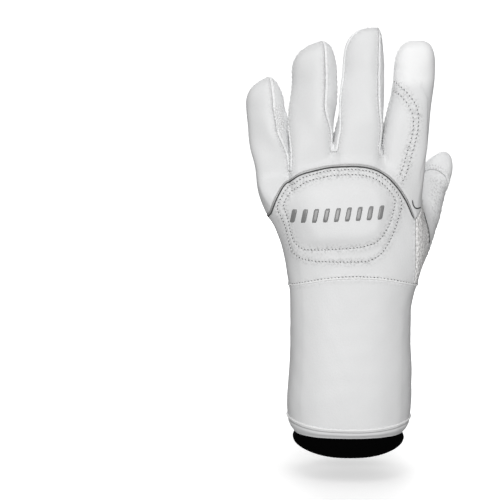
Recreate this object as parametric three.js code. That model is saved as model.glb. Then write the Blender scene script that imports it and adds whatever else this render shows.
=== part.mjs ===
// Padded winter glove for a left hand, in the shape that it has when it is worn.
// Millimetres. +Z runs from the cuff to the fingertips, -Y out of the back of the hand, +X to the thumb.
// The origin is the centre of the cuff's mouth, where the hand goes in.
//
// One skin of quads is worked out first: the cuff, the hand, four fingers and the thumb.
// It is then cut along its seams into panels, and each panel becomes a closed wall of its own.
// Piping, welts, grip pads and the inner cuff are laid against that skin.

import * as THREE from "three";

// Sewn walls
const LEATHER = 2.4; // leather with its bonded fleece
const PADDED = 3.6; // the foam-backed panel over the knuckles
const SEAM_HALF_GAP = 0.16; // between a panel's edge and the seam line
const CORD_RADIUS = 0.95; // reflective piping on the arch
const WELT_RADIUS = 0.8; // corded seams at the wrist and the hem
const CORD_CLEARANCE = 0.32;
const CORD_END_GAP = 1.3;

// Seam heights
const HEM_EDGE_Z = 11;
const HEM_WELT_Z = 21.5;
const HEM_DIP = 3.8; // how far the hem's seam falls at the middle of the back and of the palm side
const WRIST_SIDE_Z = 111;
const WRIST_RISE = 8; // how far the wrist seam climbs at the middle of the back
const PALM_SPLIT_Z = 156; // level of the arch row on the palm side

// Outer section of the cuff and hand at each height. seamUlnar and seamRadial are where the back panel ends.
const BODY = [
  { z: 11, ulnar: -37.4, radial: 37.0, back: -26.6, palm: 26.6, seamUlnar: -30, seamRadial: 30 },
  { z: 14, ulnar: -39.6, radial: 39.4, back: -29.2, palm: 29.2, seamUlnar: -31.5, seamRadial: 31.5 },
  { z: 19.5, ulnar: -41.2, radial: 41.2, back: -31.0, palm: 31.0, seamUlnar: -33, seamRadial: 33 },
  { z: 32, ulnar: -41.9, radial: 42.3, back: -31.0, palm: 31.0, seamUlnar: -33.6, seamRadial: 34 },
  { z: 52, ulnar: -40.7, radial: 42.4, back: -29.6, palm: 29.6, seamUlnar: -32.6, seamRadial: 34 },
  { z: 72, ulnar: -40.0, radial: 41.4, back: -28.0, palm: 28.2, seamUlnar: -32, seamRadial: 34 },
  { z: 92, ulnar: -40.1, radial: 41.3, back: -26.4, palm: 26.6, seamUlnar: -32, seamRadial: 35.5 },
  { z: 105, ulnar: -40.4, radial: 42.6, back: -25.6, palm: 26.6, seamUlnar: -32.3, seamRadial: 38.5 },
  { z: 117, ulnar: -41.8, radial: 46.4, back: -25.0, palm: 28.6, seamUlnar: -33.5, seamRadial: 42.4 },
  { z: 128, ulnar: -43.2, radial: 51.0, back: -24.8, palm: 30.6, seamUlnar: -35, seamRadial: 42.4 },
  { z: 139, ulnar: -45.6, radial: 54.4, back: -24.6, palm: 31.6, seamUlnar: -37.5, seamRadial: 42 },
  { z: 150, ulnar: -49.6, radial: 52.6, back: -24.0, palm: 30.6, seamUlnar: -42, seamRadial: 42.2 },
  { z: 158, ulnar: -53.0, radial: 49.6, back: -23.2, palm: 28.6, seamUlnar: -45.5, seamRadial: 42.6 },
  { z: 170, ulnar: -56.0, radial: 47.6, back: -21.8, palm: 25.4, seamUlnar: -49, seamRadial: 42.6 },
  { z: 179, ulnar: -58.4, radial: 47.8, back: -20.4, palm: 22.4, seamUlnar: -51.5, seamRadial: 43.6 },
  { z: 188, ulnar: -60.4, radial: 49.3, back: -19.2, palm: 19.0, seamUlnar: -54, seamRadial: 46 },
];
const BODY_SQUARENESS = 2.35;

// Fingers from the little one to the index.
// A station is a level section with its centre, half width and half depth.
// shoulder is where the tip starts to close, and peak is the highest point. roll turns the tip about the finger.
const FINGERS = [
  {
    name: "little",
    roll: 30,
    seam: 35,
    blunt: 2.4,
    stations: [
      { z: 185, x: -50.6, y: 2.5, half: 9.6, depth: 10.6 },
      { z: 205, x: -53.4, y: 3.0, half: 11.5, depth: 11.4 },
      { z: 221, x: -55.6, y: 4.6, half: 12.2, depth: 11.4 },
      { z: 230, x: -57.0, y: 6.4, half: 12.0, depth: 11.0 },
    ],
    peak: { x: -55.4, y: 10.5, z: 249 },
  },
  {
    name: "ring",
    roll: 28,
    seam: 35,
    blunt: 2.4,
    stations: [
      { z: 194, x: -26.6, y: -1.5, half: 14.0, depth: 13.0 },
      { z: 214, x: -25.9, y: -1.6, half: 14.6, depth: 13.4 },
      { z: 234, x: -25.1, y: 0.4, half: 15.0, depth: 13.2 },
      { z: 248, x: -24.4, y: 3.0, half: 14.5, depth: 12.6 },
    ],
    peak: { x: -20.2, y: 8.0, z: 273 },
  },
  {
    name: "middle",
    roll: 12,
    seam: 35,
    blunt: 2.7,
    stations: [
      { z: 200, x: 4.0, y: -3.6, half: 15.4, depth: 13.4 },
      { z: 217, x: 6.0, y: -3.8, half: 14.9, depth: 13.8 },
      { z: 238, x: 7.0, y: -1.8, half: 14.5, depth: 13.6 },
      { z: 254, x: 7.9, y: 1.4, half: 13.7, depth: 12.8 },
    ],
    peak: { x: 13.6, y: 7.0, z: 282 },
  },
  {
    name: "index",
    roll: 0,
    seam: 32,
    blunt: 2.9,
    stations: [
      { z: 194, x: 34.6, y: -1.4, half: 14.2, depth: 13.2 },
      { z: 211, x: 36.5, y: -1.4, half: 14.1, depth: 13.4 },
      { z: 234, x: 39.5, y: 0.6, half: 13.3, depth: 13.0 },
      { z: 250, x: 41.4, y: 3.4, half: 13.2, depth: 12.2 },
    ],
    peak: { x: 43.2, y: 9.0, z: 273 },
  },
];
// The crotches, from the one beside the little finger
const CROTCHES = [
  { x: -40.8, z: 187 },
  { x: -11.8, z: 201 },
  { x: 20.0, z: 199 },
];
const OUTER_CROTCH_Z = { ulnar: 184, radial: 190 };

// The piped arch over the knuckles, as it crosses the back
const ARCH = [
  { x: -53, z: 160 },
  { x: -47, z: 172 },
  { x: -40.8, z: 181.5 },
  { x: -34, z: 187.5 },
  { x: -21, z: 191.6 },
  { x: 5, z: 193.4 },
  { x: 15, z: 192 },
  { x: 24, z: 187.6 },
  { x: 31, z: 180 },
  { x: 37.6, z: 168 },
  { x: 42.6, z: 155 },
];

// The thumb's centre line, half width across its nail and half depth, from its root to where its tip closes
const THUMB = [
  { x: 42.5, y: 14, z: 140, half: 19, depth: 17 },
  { x: 46.5, y: 22, z: 149.5, half: 16.4, depth: 15.4 },
  { x: 50.2, y: 30, z: 158.5, half: 14.8, depth: 14 },
  { x: 53.6, y: 36.5, z: 166, half: 13.6, depth: 13 },
  { x: 56.4, y: 42, z: 172.5, half: 12.6, depth: 12 },
];
const THUMB_PEAK = { x: 69.6, y: 51.5, z: 195 };
const THUMB_NAIL = new THREE.Vector3(0.45, -0.72, 0.53);
const THUMB_BLUNT = 1.8;
// Where the tip's cap starts on the nail side and on the palm side: 1 is the centre line's end, 2 is the tip
const THUMB_SEAM = { nail: 1.24, palm: 0.62 };
const THUMB_RELAX = { rounds: 4, share: 0.4 };

// Raised knuckle cushion in the back panel
const CUSHION = { x: -5, z: 162, half: 34, tall: 25, rise: 2.4 };

// Grip pads sewn on the palm: where each one's two edges are at each height, and ribs across it
const PADS = [
  {
    name: "thenar_pad",
    edges: [
      { z: 121, left: 0.6, right: 4.6 },
      { z: 127, left: -2, right: 14.4 },
      { z: 139.4, left: -0.2, right: 26.2 },
      { z: 152, left: 2.7, right: 29.6 },
      { z: 163, left: 5.4, right: 26.4 },
      { z: 171, left: 9.2, right: 24.4 },
      { z: 175.6, left: 15, right: 20.4 },
    ],
    ribs: 8,
    ribLean: 26,
  },
  {
    name: "heel_pad",
    edges: [
      { z: 121.5, left: -21.6, right: -16.6 },
      { z: 125.6, left: -27.2, right: -10.6 },
      { z: 136, left: -34, right: -7.6 },
      { z: 149, left: -37.4, right: -6.8 },
      { z: 158, left: -35.6, right: -6.8 },
      { z: 162.6, left: -25, right: -14 },
    ],
    ribs: 6,
    ribLean: 0,
  },
];
const PAD_BASE = 0.7;
const PAD_RIB = 1.3;

// Plain slanted reflective bars over the knuckle cushion
const BARS = { count: 9, from: -38.5, to: 18.5, low: 155.8, high: 165.6, width: 3.6, lean: 1.8, thick: 0.7 };

// Elastic gathers across the palm side of the wrist
const GATHERS = { top: 108, bottom: 84, depth: 1.1 };

// Fleece inner cuff: how far its outside stands in from the white cuff's outside, and its own wall
const INNER_CUFF = [
  { z: 62, in: 3.6 },
  { z: 40, in: 3.6 },
  { z: 19.5, in: 4.6 },
  { z: 14, in: 4.4 },
  { z: 10.4, in: 2.9 },
  { z: 9.2, in: 0.9 },
  { z: 4.5, in: -0.3 },
  { z: 0.2, in: 0.3 },
  { z: -2.0, in: 2.6 },
];
const FLEECE = 2.8;
const FLEECE_LIFT = 3.2; // how far its lower edge climbs at the sides

const degrees = THREE.MathUtils.degToRad;
const lerp = THREE.MathUtils.lerp;
const clamp = THREE.MathUtils.clamp;
const vector = (x, y, z) => new THREE.Vector3(x, y, z);
const ease = (a, b, x) => THREE.MathUtils.smoothstep(x, a, b);

// A column of a table as a smooth function of another one. Past the ends it keeps the end values.
function along(rows, key, column) {
  const x = rows.map((r) => r[key]);
  const y = rows.map((r) => r[column]);
  const slope = x.map((_, i) => {
    if (i === 0 || i === x.length - 1) return 0;
    const before = (y[i] - y[i - 1]) / (x[i] - x[i - 1]);
    const after = (y[i + 1] - y[i]) / (x[i + 1] - x[i]);
    return before * after <= 0 ? 0 : (2 * before * after) / (before + after);
  });
  return (at) => {
    if (at <= x[0]) return y[0];
    if (at >= x[x.length - 1]) return y[y.length - 1];
    const i = x.findIndex((value) => value > at) - 1;
    const span = x[i + 1] - x[i];
    const t = (at - x[i]) / span;
    const t2 = t * t;
    const t3 = t2 * t;
    return (
      (2 * t3 - 3 * t2 + 1) * y[i] +
      (t3 - 2 * t2 + t) * span * slope[i] +
      (3 * t2 - 2 * t3) * y[i + 1] +
      (t3 - t2) * span * slope[i + 1]
    );
  };
}

const columnsOf = (rows, key, names) => Object.fromEntries(names.map((n) => [n, along(rows, key, n)]));

// A point of a superellipse at an angle, as [across, up] shares of its half sizes
function superellipse(angle, squareness) {
  const round = (value) => Math.sign(value) * Math.abs(value) ** (2 / squareness);
  return [round(Math.cos(angle)), round(Math.sin(angle))];
}

// The skin

const COLUMNS = 4; // quads across a finger's back, its palm side and each of its side walls
const BACK = 5 * COLUMNS - 1; // columns across the back of the hand: four fingers and three webs
const RADIAL = BACK; // ring position of the seam on the thumb's side
const PALM = BACK + COLUMNS; // ring position where the palm side starts
const ULNAR = PALM + BACK; // ring position where the little finger's side starts
const RING = ULNAR + COLUMNS;

const body = columnsOf(BODY, "z", ["ulnar", "radial", "back", "palm", "seamUlnar", "seamRadial"]);
const archZ = along(ARCH, "x", "z");

class Skin {
  constructor() {
    this.points = [];
    this.faces = []; // each is { at: [vertex numbers], panel: name }
    this.wide = new Map(); // edges that hold a cord, with the half gap that it needs
  }

  add(point) {
    return this.points.push(point) - 1;
  }

  face(panel, ...at) {
    this.faces.push({ at, panel });
  }

  cord(a, b, halfGap) {
    this.wide.set(edgeKey(a, b), halfGap);
  }

  // Evens out the given vertices, each towards the middle of its neighbours
  relax(vertices, rounds, share) {
    const neighbours = new Map(vertices.map((v) => [v, new Set()]));
    for (const { at } of this.faces) {
      at.forEach((a, i) => {
        const b = at[(i + 1) % at.length];
        neighbours.get(a)?.add(b);
        neighbours.get(b)?.add(a);
      });
    }
    for (let round = 0; round < rounds; round++) {
      const next = [...neighbours].map(([v, around]) => {
        const middle = vector(0, 0, 0);
        for (const w of around) middle.add(this.points[w]);
        return [v, middle.divideScalar(around.size)];
      });
      for (const [v, middle] of next) this.points[v].lerp(middle, share);
    }
  }

  normals() {
    const sums = this.points.map(() => vector(0, 0, 0));
    for (const { at } of this.faces) {
      const [a, b, c, d = a] = at.map((i) => this.points[i]);
      const area = c.clone().sub(a).cross(d.clone().sub(b));
      for (const i of at) sums[i].add(area);
    }
    return sums.map((n) => n.normalize());
  }
}

const edgeKey = (a, b) => (a < b ? a + "_" + b : b + "_" + a);

// Level section of a finger by angle: 90 degrees faces out of the back, 0 to the thumb's side
class Finger {
  constructor(spec, left, right) {
    Object.assign(this, spec);
    this.left = left;
    this.right = right;
    this.at = columnsOf(spec.stations, "z", ["x", "y", "half", "depth"]);
    this.base = spec.stations[0].z;
    this.shoulder = spec.stations[spec.stations.length - 1].z;
  }

  // Angles of the four seams and the columns between them, from the little finger's side of the back and round
  angles() {
    const s = this.seam;
    const sides = [
      [180 - s, s],
      [s, -s],
      [-s, s - 180],
      [s - 180, -180 - s],
    ];
    return sides.flatMap(([a, b]) =>
      Array.from({ length: COLUMNS }, (_, i) => degrees(lerp(a, b, i / COLUMNS))),
    );
  }

  point(angle, z, close = 1, share = 0) {
    const level = Math.min(z, this.shoulder);
    const risen = ease(this.base, this.shoulder, z);
    const squareness = lerp(4, 2.6, risen);
    const [u, v] = superellipse(angle, squareness);
    const turn = degrees(this.roll) * ease(0, 0.75, risen);
    const across = u * this.at.half(level) * close;
    const out = v * this.at.depth(level) * close;
    const x = lerp(this.at.x(level), this.peak.x, share);
    const y = lerp(this.at.y(level), this.peak.y, share);
    return vector(
      x + across * Math.cos(turn) - out * Math.sin(turn),
      y - across * Math.sin(turn) - out * Math.cos(turn),
      z,
    );
  }

  // The finger's rings above its first one: even steps to the shoulder, then a dome
  rings() {
    const angles = this.angles();
    const rise = this.shoulder - this.base;
    const straight = [0.2, 0.46, 0.74, 1].map((t) => ({ z: this.base + t * rise, close: 1, share: 0 }));
    const dome = [0.42, 0.74, 0.93].map((t) => ({
      z: lerp(this.shoulder, this.peak.z, t),
      close: (1 - t ** this.blunt) ** (1 / this.blunt),
      share: t * t,
    }));
    const levels = [...straight, ...dome];
    return levels.map(({ z, close, share }) => angles.map((a) => this.point(a, z, close, share)));
  }
}

// Height of the finger line along a ring position: level across a web, and easing from crotch to crotch
function fingerLine(finger, share) {
  return lerp(finger.left.z, finger.right.z, share);
}

const ends = [
  { z: OUTER_CROTCH_Z.ulnar },
  ...CROTCHES,
  { z: OUTER_CROTCH_Z.radial },
];
const fingers = FINGERS.map((spec, i) => new Finger(spec, ends[i], ends[i + 1]));

// Ring position of each of a finger's first-ring points, back first and then round its side wall and palm side
function baseRing(number) {
  const back = number * (COLUMNS + 1);
  const palm = (i) => PALM + (BACK - i);
  return {
    back: Array.from({ length: COLUMNS + 1 }, (_, i) => back + i),
    palm: Array.from({ length: COLUMNS + 1 }, (_, i) => palm(back + COLUMNS - i)),
  };
}

// Top row of the hand, where the fingers start
function topRow() {
  const row = new Array(RING);
  fingers.forEach((finger, number) => {
    const { back, palm } = baseRing(number);
    const angles = finger.angles();
    const place = (angle, share) => {
      const p = finger.point(angle, finger.base);
      p.z = fingerLine(finger, share);
      return p;
    };
    back.forEach((at, i) => (row[at] = place(angles[i], i / COLUMNS)));
    palm.forEach((at, i) => (row[at % RING] = place(angles[2 * COLUMNS + i] ?? angles[0], 1 - i / COLUMNS)));
  });
  const index = fingers[fingers.length - 1];
  const little = fingers[0];
  for (let i = 1; i < COLUMNS; i++) {
    row[RADIAL + i] = index.point(index.angles()[COLUMNS + i], index.base).setZ(OUTER_CROTCH_Z.radial);
    row[ULNAR + i] = little.point(little.angles()[3 * COLUMNS + i], little.base).setZ(OUTER_CROTCH_Z.ulnar);
  }
  return row;
}

const top = topRow();

// Share of the way across the back, from the ulnar seam to the radial one, at a ring position on back or palm
function acrossBack(at) {
  const x = (i) => top[i].x;
  const onBack = at <= RADIAL;
  const [from, to] = onBack ? [0, RADIAL] : [ULNAR, PALM];
  return (x(at) - x(from)) / (x(to) - x(from));
}

// Point of the level section of the hand or cuff at a ring position
function bodyPoint(at, z) {
  const ulnar = body.ulnar(z);
  const radial = body.radial(z);
  const centre = (ulnar + radial) / 2;
  const half = (radial - ulnar) / 2;
  const middle = (body.back(z) + body.palm(z)) / 2;
  const depth = (body.palm(z) - body.back(z)) / 2;
  const seams = { ulnar: body.seamUlnar(z), radial: body.seamRadial(z) };
  const angleOf = (x) => {
    const share = (x - centre) / half;
    return Math.acos(Math.sign(share) * Math.abs(share) ** (BODY_SQUARENESS / 2));
  };
  let angle;
  if (at <= RADIAL || (at >= PALM && at <= ULNAR)) {
    angle = angleOf(lerp(seams.ulnar, seams.radial, acrossBack(at)));
    if (at >= PALM) angle = -angle;
  } else {
    const radialSide = at < PALM;
    const seam = angleOf(radialSide ? seams.radial : seams.ulnar);
    const share = (at - (radialSide ? RADIAL : ULNAR)) / COLUMNS;
    angle = radialSide ? lerp(seam, -seam, share) : lerp(-seam, seam - 2 * Math.PI, share);
  }
  const [u, v] = superellipse(angle, BODY_SQUARENESS);
  return vector(centre + u * half, middle - v * depth, z);
}

// How far the knuckle cushion lifts the back
function cushionRise(p) {
  const across = Math.abs(p.x - CUSHION.x) / CUSHION.half;
  const up = Math.abs(p.z - CUSHION.z) / CUSHION.tall;
  const edge = (across ** 4 + up ** 4) ** 0.25;
  return CUSHION.rise * (1 - ease(0.62, 1.05, edge));
}

// How far below the crotches the fingers' places across the hand, and their own roundness, run out
const SPREAD = 36;
const ROUND = 15;

function handPoint(at, z) {
  const level = bodyPoint(at, z);
  const below = top[at].z - z;
  const p = level.clone();
  p.x = lerp(level.x, top[at].x, 1 - ease(0, SPREAD, below));
  p.y = lerp(level.y, top[at].y, 1 - ease(0, ROUND, below));
  if (at <= RADIAL) p.y -= cushionRise(p);
  return p;
}

// Heights of the wrist seam and of the arch row at a ring position
function wristLine(at) {
  const p = bodyPoint(at, WRIST_SIDE_Z);
  const half = (body.radial(WRIST_SIDE_Z) - body.ulnar(WRIST_SIDE_Z)) / 2;
  const across = (p.x - body.ulnar(WRIST_SIDE_Z)) / half - 1;
  return WRIST_SIDE_Z + (p.y < 0 ? WRIST_RISE * (1 - across * across) : 0);
}

// How far a cuff row hangs below its height at the sides: nothing at the hem's edge and well above its seam
function hemDip(at, z) {
  const side = bodyPoint(at, HEM_WELT_Z).y / body.palm(HEM_WELT_Z);
  return HEM_DIP * side * side * ease(HEM_EDGE_Z, HEM_WELT_Z, z) * (1 - ease(HEM_WELT_Z, 70, z));
}

function archLine(at) {
  if (at <= RADIAL) {
    let z = 175;
    for (let i = 0; i < 12; i++) z = lerp(z, archZ(handPoint(at, z).x), 0.6);
    return Math.min(z, top[at].z - 4.5);
  }
  const radialEnd = archZ(42);
  if (at < PALM) return lerp(radialEnd, 163, ease(0, 1, at - RADIAL));
  if (at <= ULNAR) return lerp(163, PALM_SPLIT_Z - 4, (at - PALM) / (ULNAR - PALM));
  return lerp(PALM_SPLIT_Z - 4, archZ(-53), (at - ULNAR) / COLUMNS);
}

const LOWER_ROWS = 6; // quads from the wrist seam up to the arch row
const UPPER_ROWS = 2; // quads from the arch row up to the fingers

function gatherRipple(p, at, row) {
  if (at <= PALM || at >= ULNAR) return 0;
  const risen = ease(GATHERS.bottom - 6, GATHERS.bottom, p.z);
  const inside = risen * (1 - ease(GATHERS.top, GATHERS.top + 3, p.z));
  const sides = Math.min(1, (at - PALM) / 2, (ULNAR - at) / 2);
  return ((at + row) % 2 ? -1 : 1) * GATHERS.depth * inside * sides;
}

// Panel that each quad of the hand belongs to. Ring positions and rows are those of the quad's first corner.
const HOLE = { fromRow: 1, toRow: LOWER_ROWS, from: RADIAL + 2, to: PALM + 3 };

function handPanel(at, row) {
  const above = row >= LOWER_ROWS;
  if (at < RADIAL) return above ? "finger_backs" : "back_panel";
  if (at < PALM) {
    if (above) return "index_wrap";
    return "thumb_gusset";
  }
  if (at < ULNAR) return "palm_panel";
  return above ? "finger_backs" : "back_panel";
}

const inHole = (at, row) => at >= HOLE.from && at < HOLE.to && row >= HOLE.fromRow && row < HOLE.toRow;

function buildSkin() {
  const skin = new Skin();
  const next = (at) => (at + 1) % RING;

  // Cuff and hem, as rows of level sections from the hem's edge up to the wrist seam
  const cuffHeights = [HEM_EDGE_Z, 13.4, 17.4, HEM_WELT_Z, 36, 58, 78, 85, 91, 97, 103, null];
  const rows = cuffHeights.map((z, row) =>
    Array.from({ length: RING }, (_, at) => {
      const p = z === null ? handPoint(at, wristLine(at)) : bodyPoint(at, z - hemDip(at, z));
      const middle = vector(0, 0, p.z);
      const out = p.clone().sub(middle).normalize();
      return skin.add(z === null ? p : p.addScaledVector(out, gatherRipple(p, at, row)));
    }),
  );
  const hemRow = cuffHeights.indexOf(HEM_WELT_Z);
  const wristRow = cuffHeights.length - 1;

  // Hand rows above the wrist seam
  const positions = Array.from({ length: RING }, (_, at) => at);
  const wrist = positions.map(wristLine);
  const arch = positions.map(archLine);
  const strip = (low, high, share) => {
    return positions.map((at) => skin.add(handPoint(at, lerp(low[at], high[at], share))));
  };
  for (let i = 1; i <= LOWER_ROWS; i++) rows.push(strip(wrist, arch, i / LOWER_ROWS));
  for (let i = 1; i < UPPER_ROWS; i++) rows.push(strip(arch, top.map((p) => p.z), i / UPPER_ROWS));
  rows.push(top.map((p) => skin.add(p.clone())));

  for (let row = 0; row < rows.length - 1; row++) {
    const handRow = row - wristRow;
    for (let at = 0; at < RING; at++) {
      if (inHole(at, handRow)) continue;
      const panel = row < hemRow ? "hem_band" : row < wristRow ? "cuff" : handPanel(at, handRow);
      skin.face(panel, rows[row][at], rows[row][next(at)], rows[row + 1][next(at)], rows[row + 1][at]);
    }
  }

  // Webs: a strip from the back to the palm between two fingers
  const first = rows[rows.length - 1];
  const walls = []; // for each finger, the points of its side walls at the finger line
  fingers.forEach((finger, number) => {
    const { back, palm } = baseRing(number);
    const angles = finger.angles();
    const wall = (side) => {
      const from = side === "right" ? COLUMNS : 3 * COLUMNS;
      const z = side === "right" ? finger.right.z : finger.left.z;
      return Array.from({ length: COLUMNS - 1 }, (_, i) => {
        const p = finger.point(angles[from + 1 + i], finger.base);
        return skin.add(p.setZ(z));
      });
    };
    const outerRight = number === fingers.length - 1;
    const outerLeft = number === 0;
    const right = outerRight
      ? Array.from({ length: COLUMNS - 1 }, (_, i) => first[RADIAL + 1 + i])
      : wall("right");
    const left = outerLeft
      ? Array.from({ length: COLUMNS - 1 }, (_, i) => first[ULNAR + 1 + i])
      : wall("left");
    const backPoints = back.map((at) => first[at]);
    const palmPoints = palm.map((at) => first[at % RING]);
    walls.push({ right, left, backPoints, palmPoints });
  });
  for (let i = 0; i < fingers.length - 1; i++) {
    const near = [walls[i].backPoints[COLUMNS], ...walls[i].right, walls[i].palmPoints[0]];
    const far = [walls[i + 1].backPoints[0], ...walls[i + 1].left.slice().reverse(), walls[i + 1].palmPoints[COLUMNS]];
    for (let j = 0; j < COLUMNS; j++) skin.face(sideWalls(i), near[j], far[j], far[j + 1], near[j + 1]);
  }

  // Fingers
  fingers.forEach((finger, number) => {
    const { right, left, backPoints, palmPoints } = walls[number];
    const base = [...backPoints, ...right, ...palmPoints, ...left];
    const rings = [base, ...finger.rings().map((ring) => ring.map((p) => skin.add(p)))];
    rings.slice(0, -1).forEach((ring, row) => {
      for (let i = 0; i < ring.length; i++) {
        const j = (i + 1) % ring.length;
        skin.face(fingerPanel(number, i, row), ring[i], ring[j], rings[row + 1][j], rings[row + 1][i]);
      }
    });
    const last = rings[rings.length - 1];
    const pole = skin.add(vector(finger.peak.x, finger.peak.y, finger.peak.z));
    for (let i = 0; i < last.length; i++) {
      skin.face(fingerPanel(number, i, rings.length - 1), last[i], last[(i + 1) % last.length], pole);
    }
  });

  thumb(skin, rows.slice(wristRow));

  // Seams that hold a cord
  const cordGap = CORD_RADIUS + CORD_CLEARANCE;
  const weltGap = WELT_RADIUS + CORD_CLEARANCE;
  const archRow = rows[wristRow + LOWER_ROWS];
  for (let at = ULNAR + 1; at < RING + RADIAL; at++) skin.cord(archRow[at % RING], archRow[next(at % RING)], cordGap);
  for (let at = 0; at < RING; at++) {
    skin.cord(rows[hemRow][at], rows[hemRow][next(at)], weltGap);
    skin.cord(rows[wristRow][at], rows[wristRow][next(at)], weltGap);
  }
  skin.lines = {
    arch: Array.from({ length: RING - ULNAR + RADIAL }, (_, i) => archRow[(ULNAR + 1 + i) % RING]),
    wrist: rows[wristRow],
    hem: rows[hemRow],
  };
  return skin;
}

// Side walls are numbered from the pair between the little and the ring finger
function sideWalls(gap) {
  return "side_walls_" + fingers[gap].name + "_" + fingers[gap + 1].name;
}

const WRAP_ROW = 4; // the index finger's wrap covers its tip from this row up

function fingerPanel(number, column, row) {
  const side = Math.floor(column / COLUMNS);
  const isIndex = number === fingers.length - 1;
  const isLittle = number === 0;
  if (side === 2) return "palm_panel";
  if (side === 1) return isIndex ? "index_wrap" : sideWalls(number);
  if (side === 3) return isLittle ? "finger_backs" : sideWalls(number - 1);
  if (isIndex && (row >= WRAP_ROW || column === COLUMNS - 1)) return "index_wrap";
  return "finger_backs";
}

// The thumb grows out of the hole that the hand's rows leave on the radial side
const CAP_ROW = 5;

function thumb(skin, rows) {
  const { fromRow, toRow, from, to } = HOLE;
  const loop = [];
  for (let row = toRow; row > fromRow; row--) loop.push(rows[row][from]);
  for (let at = from; at < to; at++) loop.push(rows[fromRow][at]);
  for (let row = fromRow; row < toRow; row++) loop.push(rows[row][to]);
  for (let at = to; at > from; at--) loop.push(rows[toRow][at]);

  const line = new THREE.CatmullRomCurve3(THUMB.map((s) => vector(s.x, s.y, s.z)));
  const stations = THUMB.map((s, i) => ({ ...s, t: i / (THUMB.length - 1) }));
  const size = columnsOf(stations, "t", ["half", "depth"]);
  const peak = vector(THUMB_PEAK.x, THUMB_PEAK.y, THUMB_PEAK.z);
  const start = line.getPoint(0);
  const axes = (t) => {
    const axis = line.getTangent(t);
    const nail = THUMB_NAIL.clone().addScaledVector(axis, -THUMB_NAIL.dot(axis)).normalize();
    return { nail, side: axis.clone().cross(nail) };
  };
  const rootAxes = axes(0.5);
  const angleOf = (p) => {
    const d = p.clone().sub(start);
    return Math.atan2(d.dot(rootAxes.side), d.dot(rootAxes.nail));
  };
  const loopPoints = loop.map((i) => skin.points[i]);
  const firstAngle = angleOf(loopPoints[0]);
  const turned = loopPoints.reduce((sum, p, i) => {
    const q = loopPoints[(i + 1) % loopPoints.length];
    let step = angleOf(q) - angleOf(p);
    if (step > Math.PI) step -= 2 * Math.PI;
    if (step < -Math.PI) step += 2 * Math.PI;
    return sum + step;
  }, 0);
  const angles = loop.map((_, i) => firstAngle + (Math.sign(turned) * 2 * Math.PI * i) / loop.length);

  const tilt = (angle) => lerp(THUMB_SEAM.palm, THUMB_SEAM.nail, (1 + Math.cos(angle)) / 2) - 1;
  const ring = (level) =>
    angles.map((angle, i) => {
      const place = level + tilt(angle) * (level < 1 ? ease(0.15, 1, level) : (2 - level) ** 1.5);
      const t = Math.min(place, 1);
      const domed = clamp(place - 1, 0, 1);
      const close = (1 - domed ** THUMB_BLUNT) ** (1 / THUMB_BLUNT);
      const { nail, side } = axes(t);
      const centre = line.getPoint(t).lerp(peak, domed);
      const [u, v] = superellipse(angle, 2.5);
      const p = centre
        .clone()
        .addScaledVector(nail, u * size.depth(t) * close)
        .addScaledVector(side, v * size.half(t) * close);
      const swept = loopPoints[i].clone().add(centre).sub(start);
      return p.lerp(swept, 1 - ease(0, 0.45, place));
    });
  const rings = [
    loop,
    ...[0.16, 0.36, 0.6, 0.82, 1, 1.42, 1.74, 1.93].map(ring),
  ].map((points, row) => (row ? points.map((p) => skin.add(p)) : points));

  const middleAngle = (i) => angles[i] + (Math.sign(turned) * Math.PI) / loop.length;
  const panel = (i, row) => {
    if (row >= CAP_ROW) return "thumb_cap";
    return Math.cos(middleAngle(i)) > 0.05 ? "thumb_back" : "thumb_palm";
  };
  rings.slice(0, -1).forEach((points, row) => {
    for (let i = 0; i < points.length; i++) {
      const j = (i + 1) % points.length;
      skin.face(panel(i, row), points[i], points[j], rings[row + 1][j], rings[row + 1][i]);
    }
  });
  const pole = skin.add(peak);
  const last = rings[rings.length - 1];
  for (let i = 0; i < last.length; i++) skin.face("thumb_cap", last[i], last[(i + 1) % last.length], pole);

  const around = [];
  for (let row = fromRow - 1; row <= toRow + 1; row++) {
    for (let at = from - 1; at <= to + 1; at++) {
      const inside = row > fromRow && row < toRow && at > from && at < to;
      if (row > 0 && !inside) around.push(rows[row][at]);
    }
  }
  skin.relax([...around, ...rings[1], ...rings[2]], THUMB_RELAX.rounds, THUMB_RELAX.share);
}

// Walls: one closed solid for each panel

const THICKNESS = { back_panel: PADDED };

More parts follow.
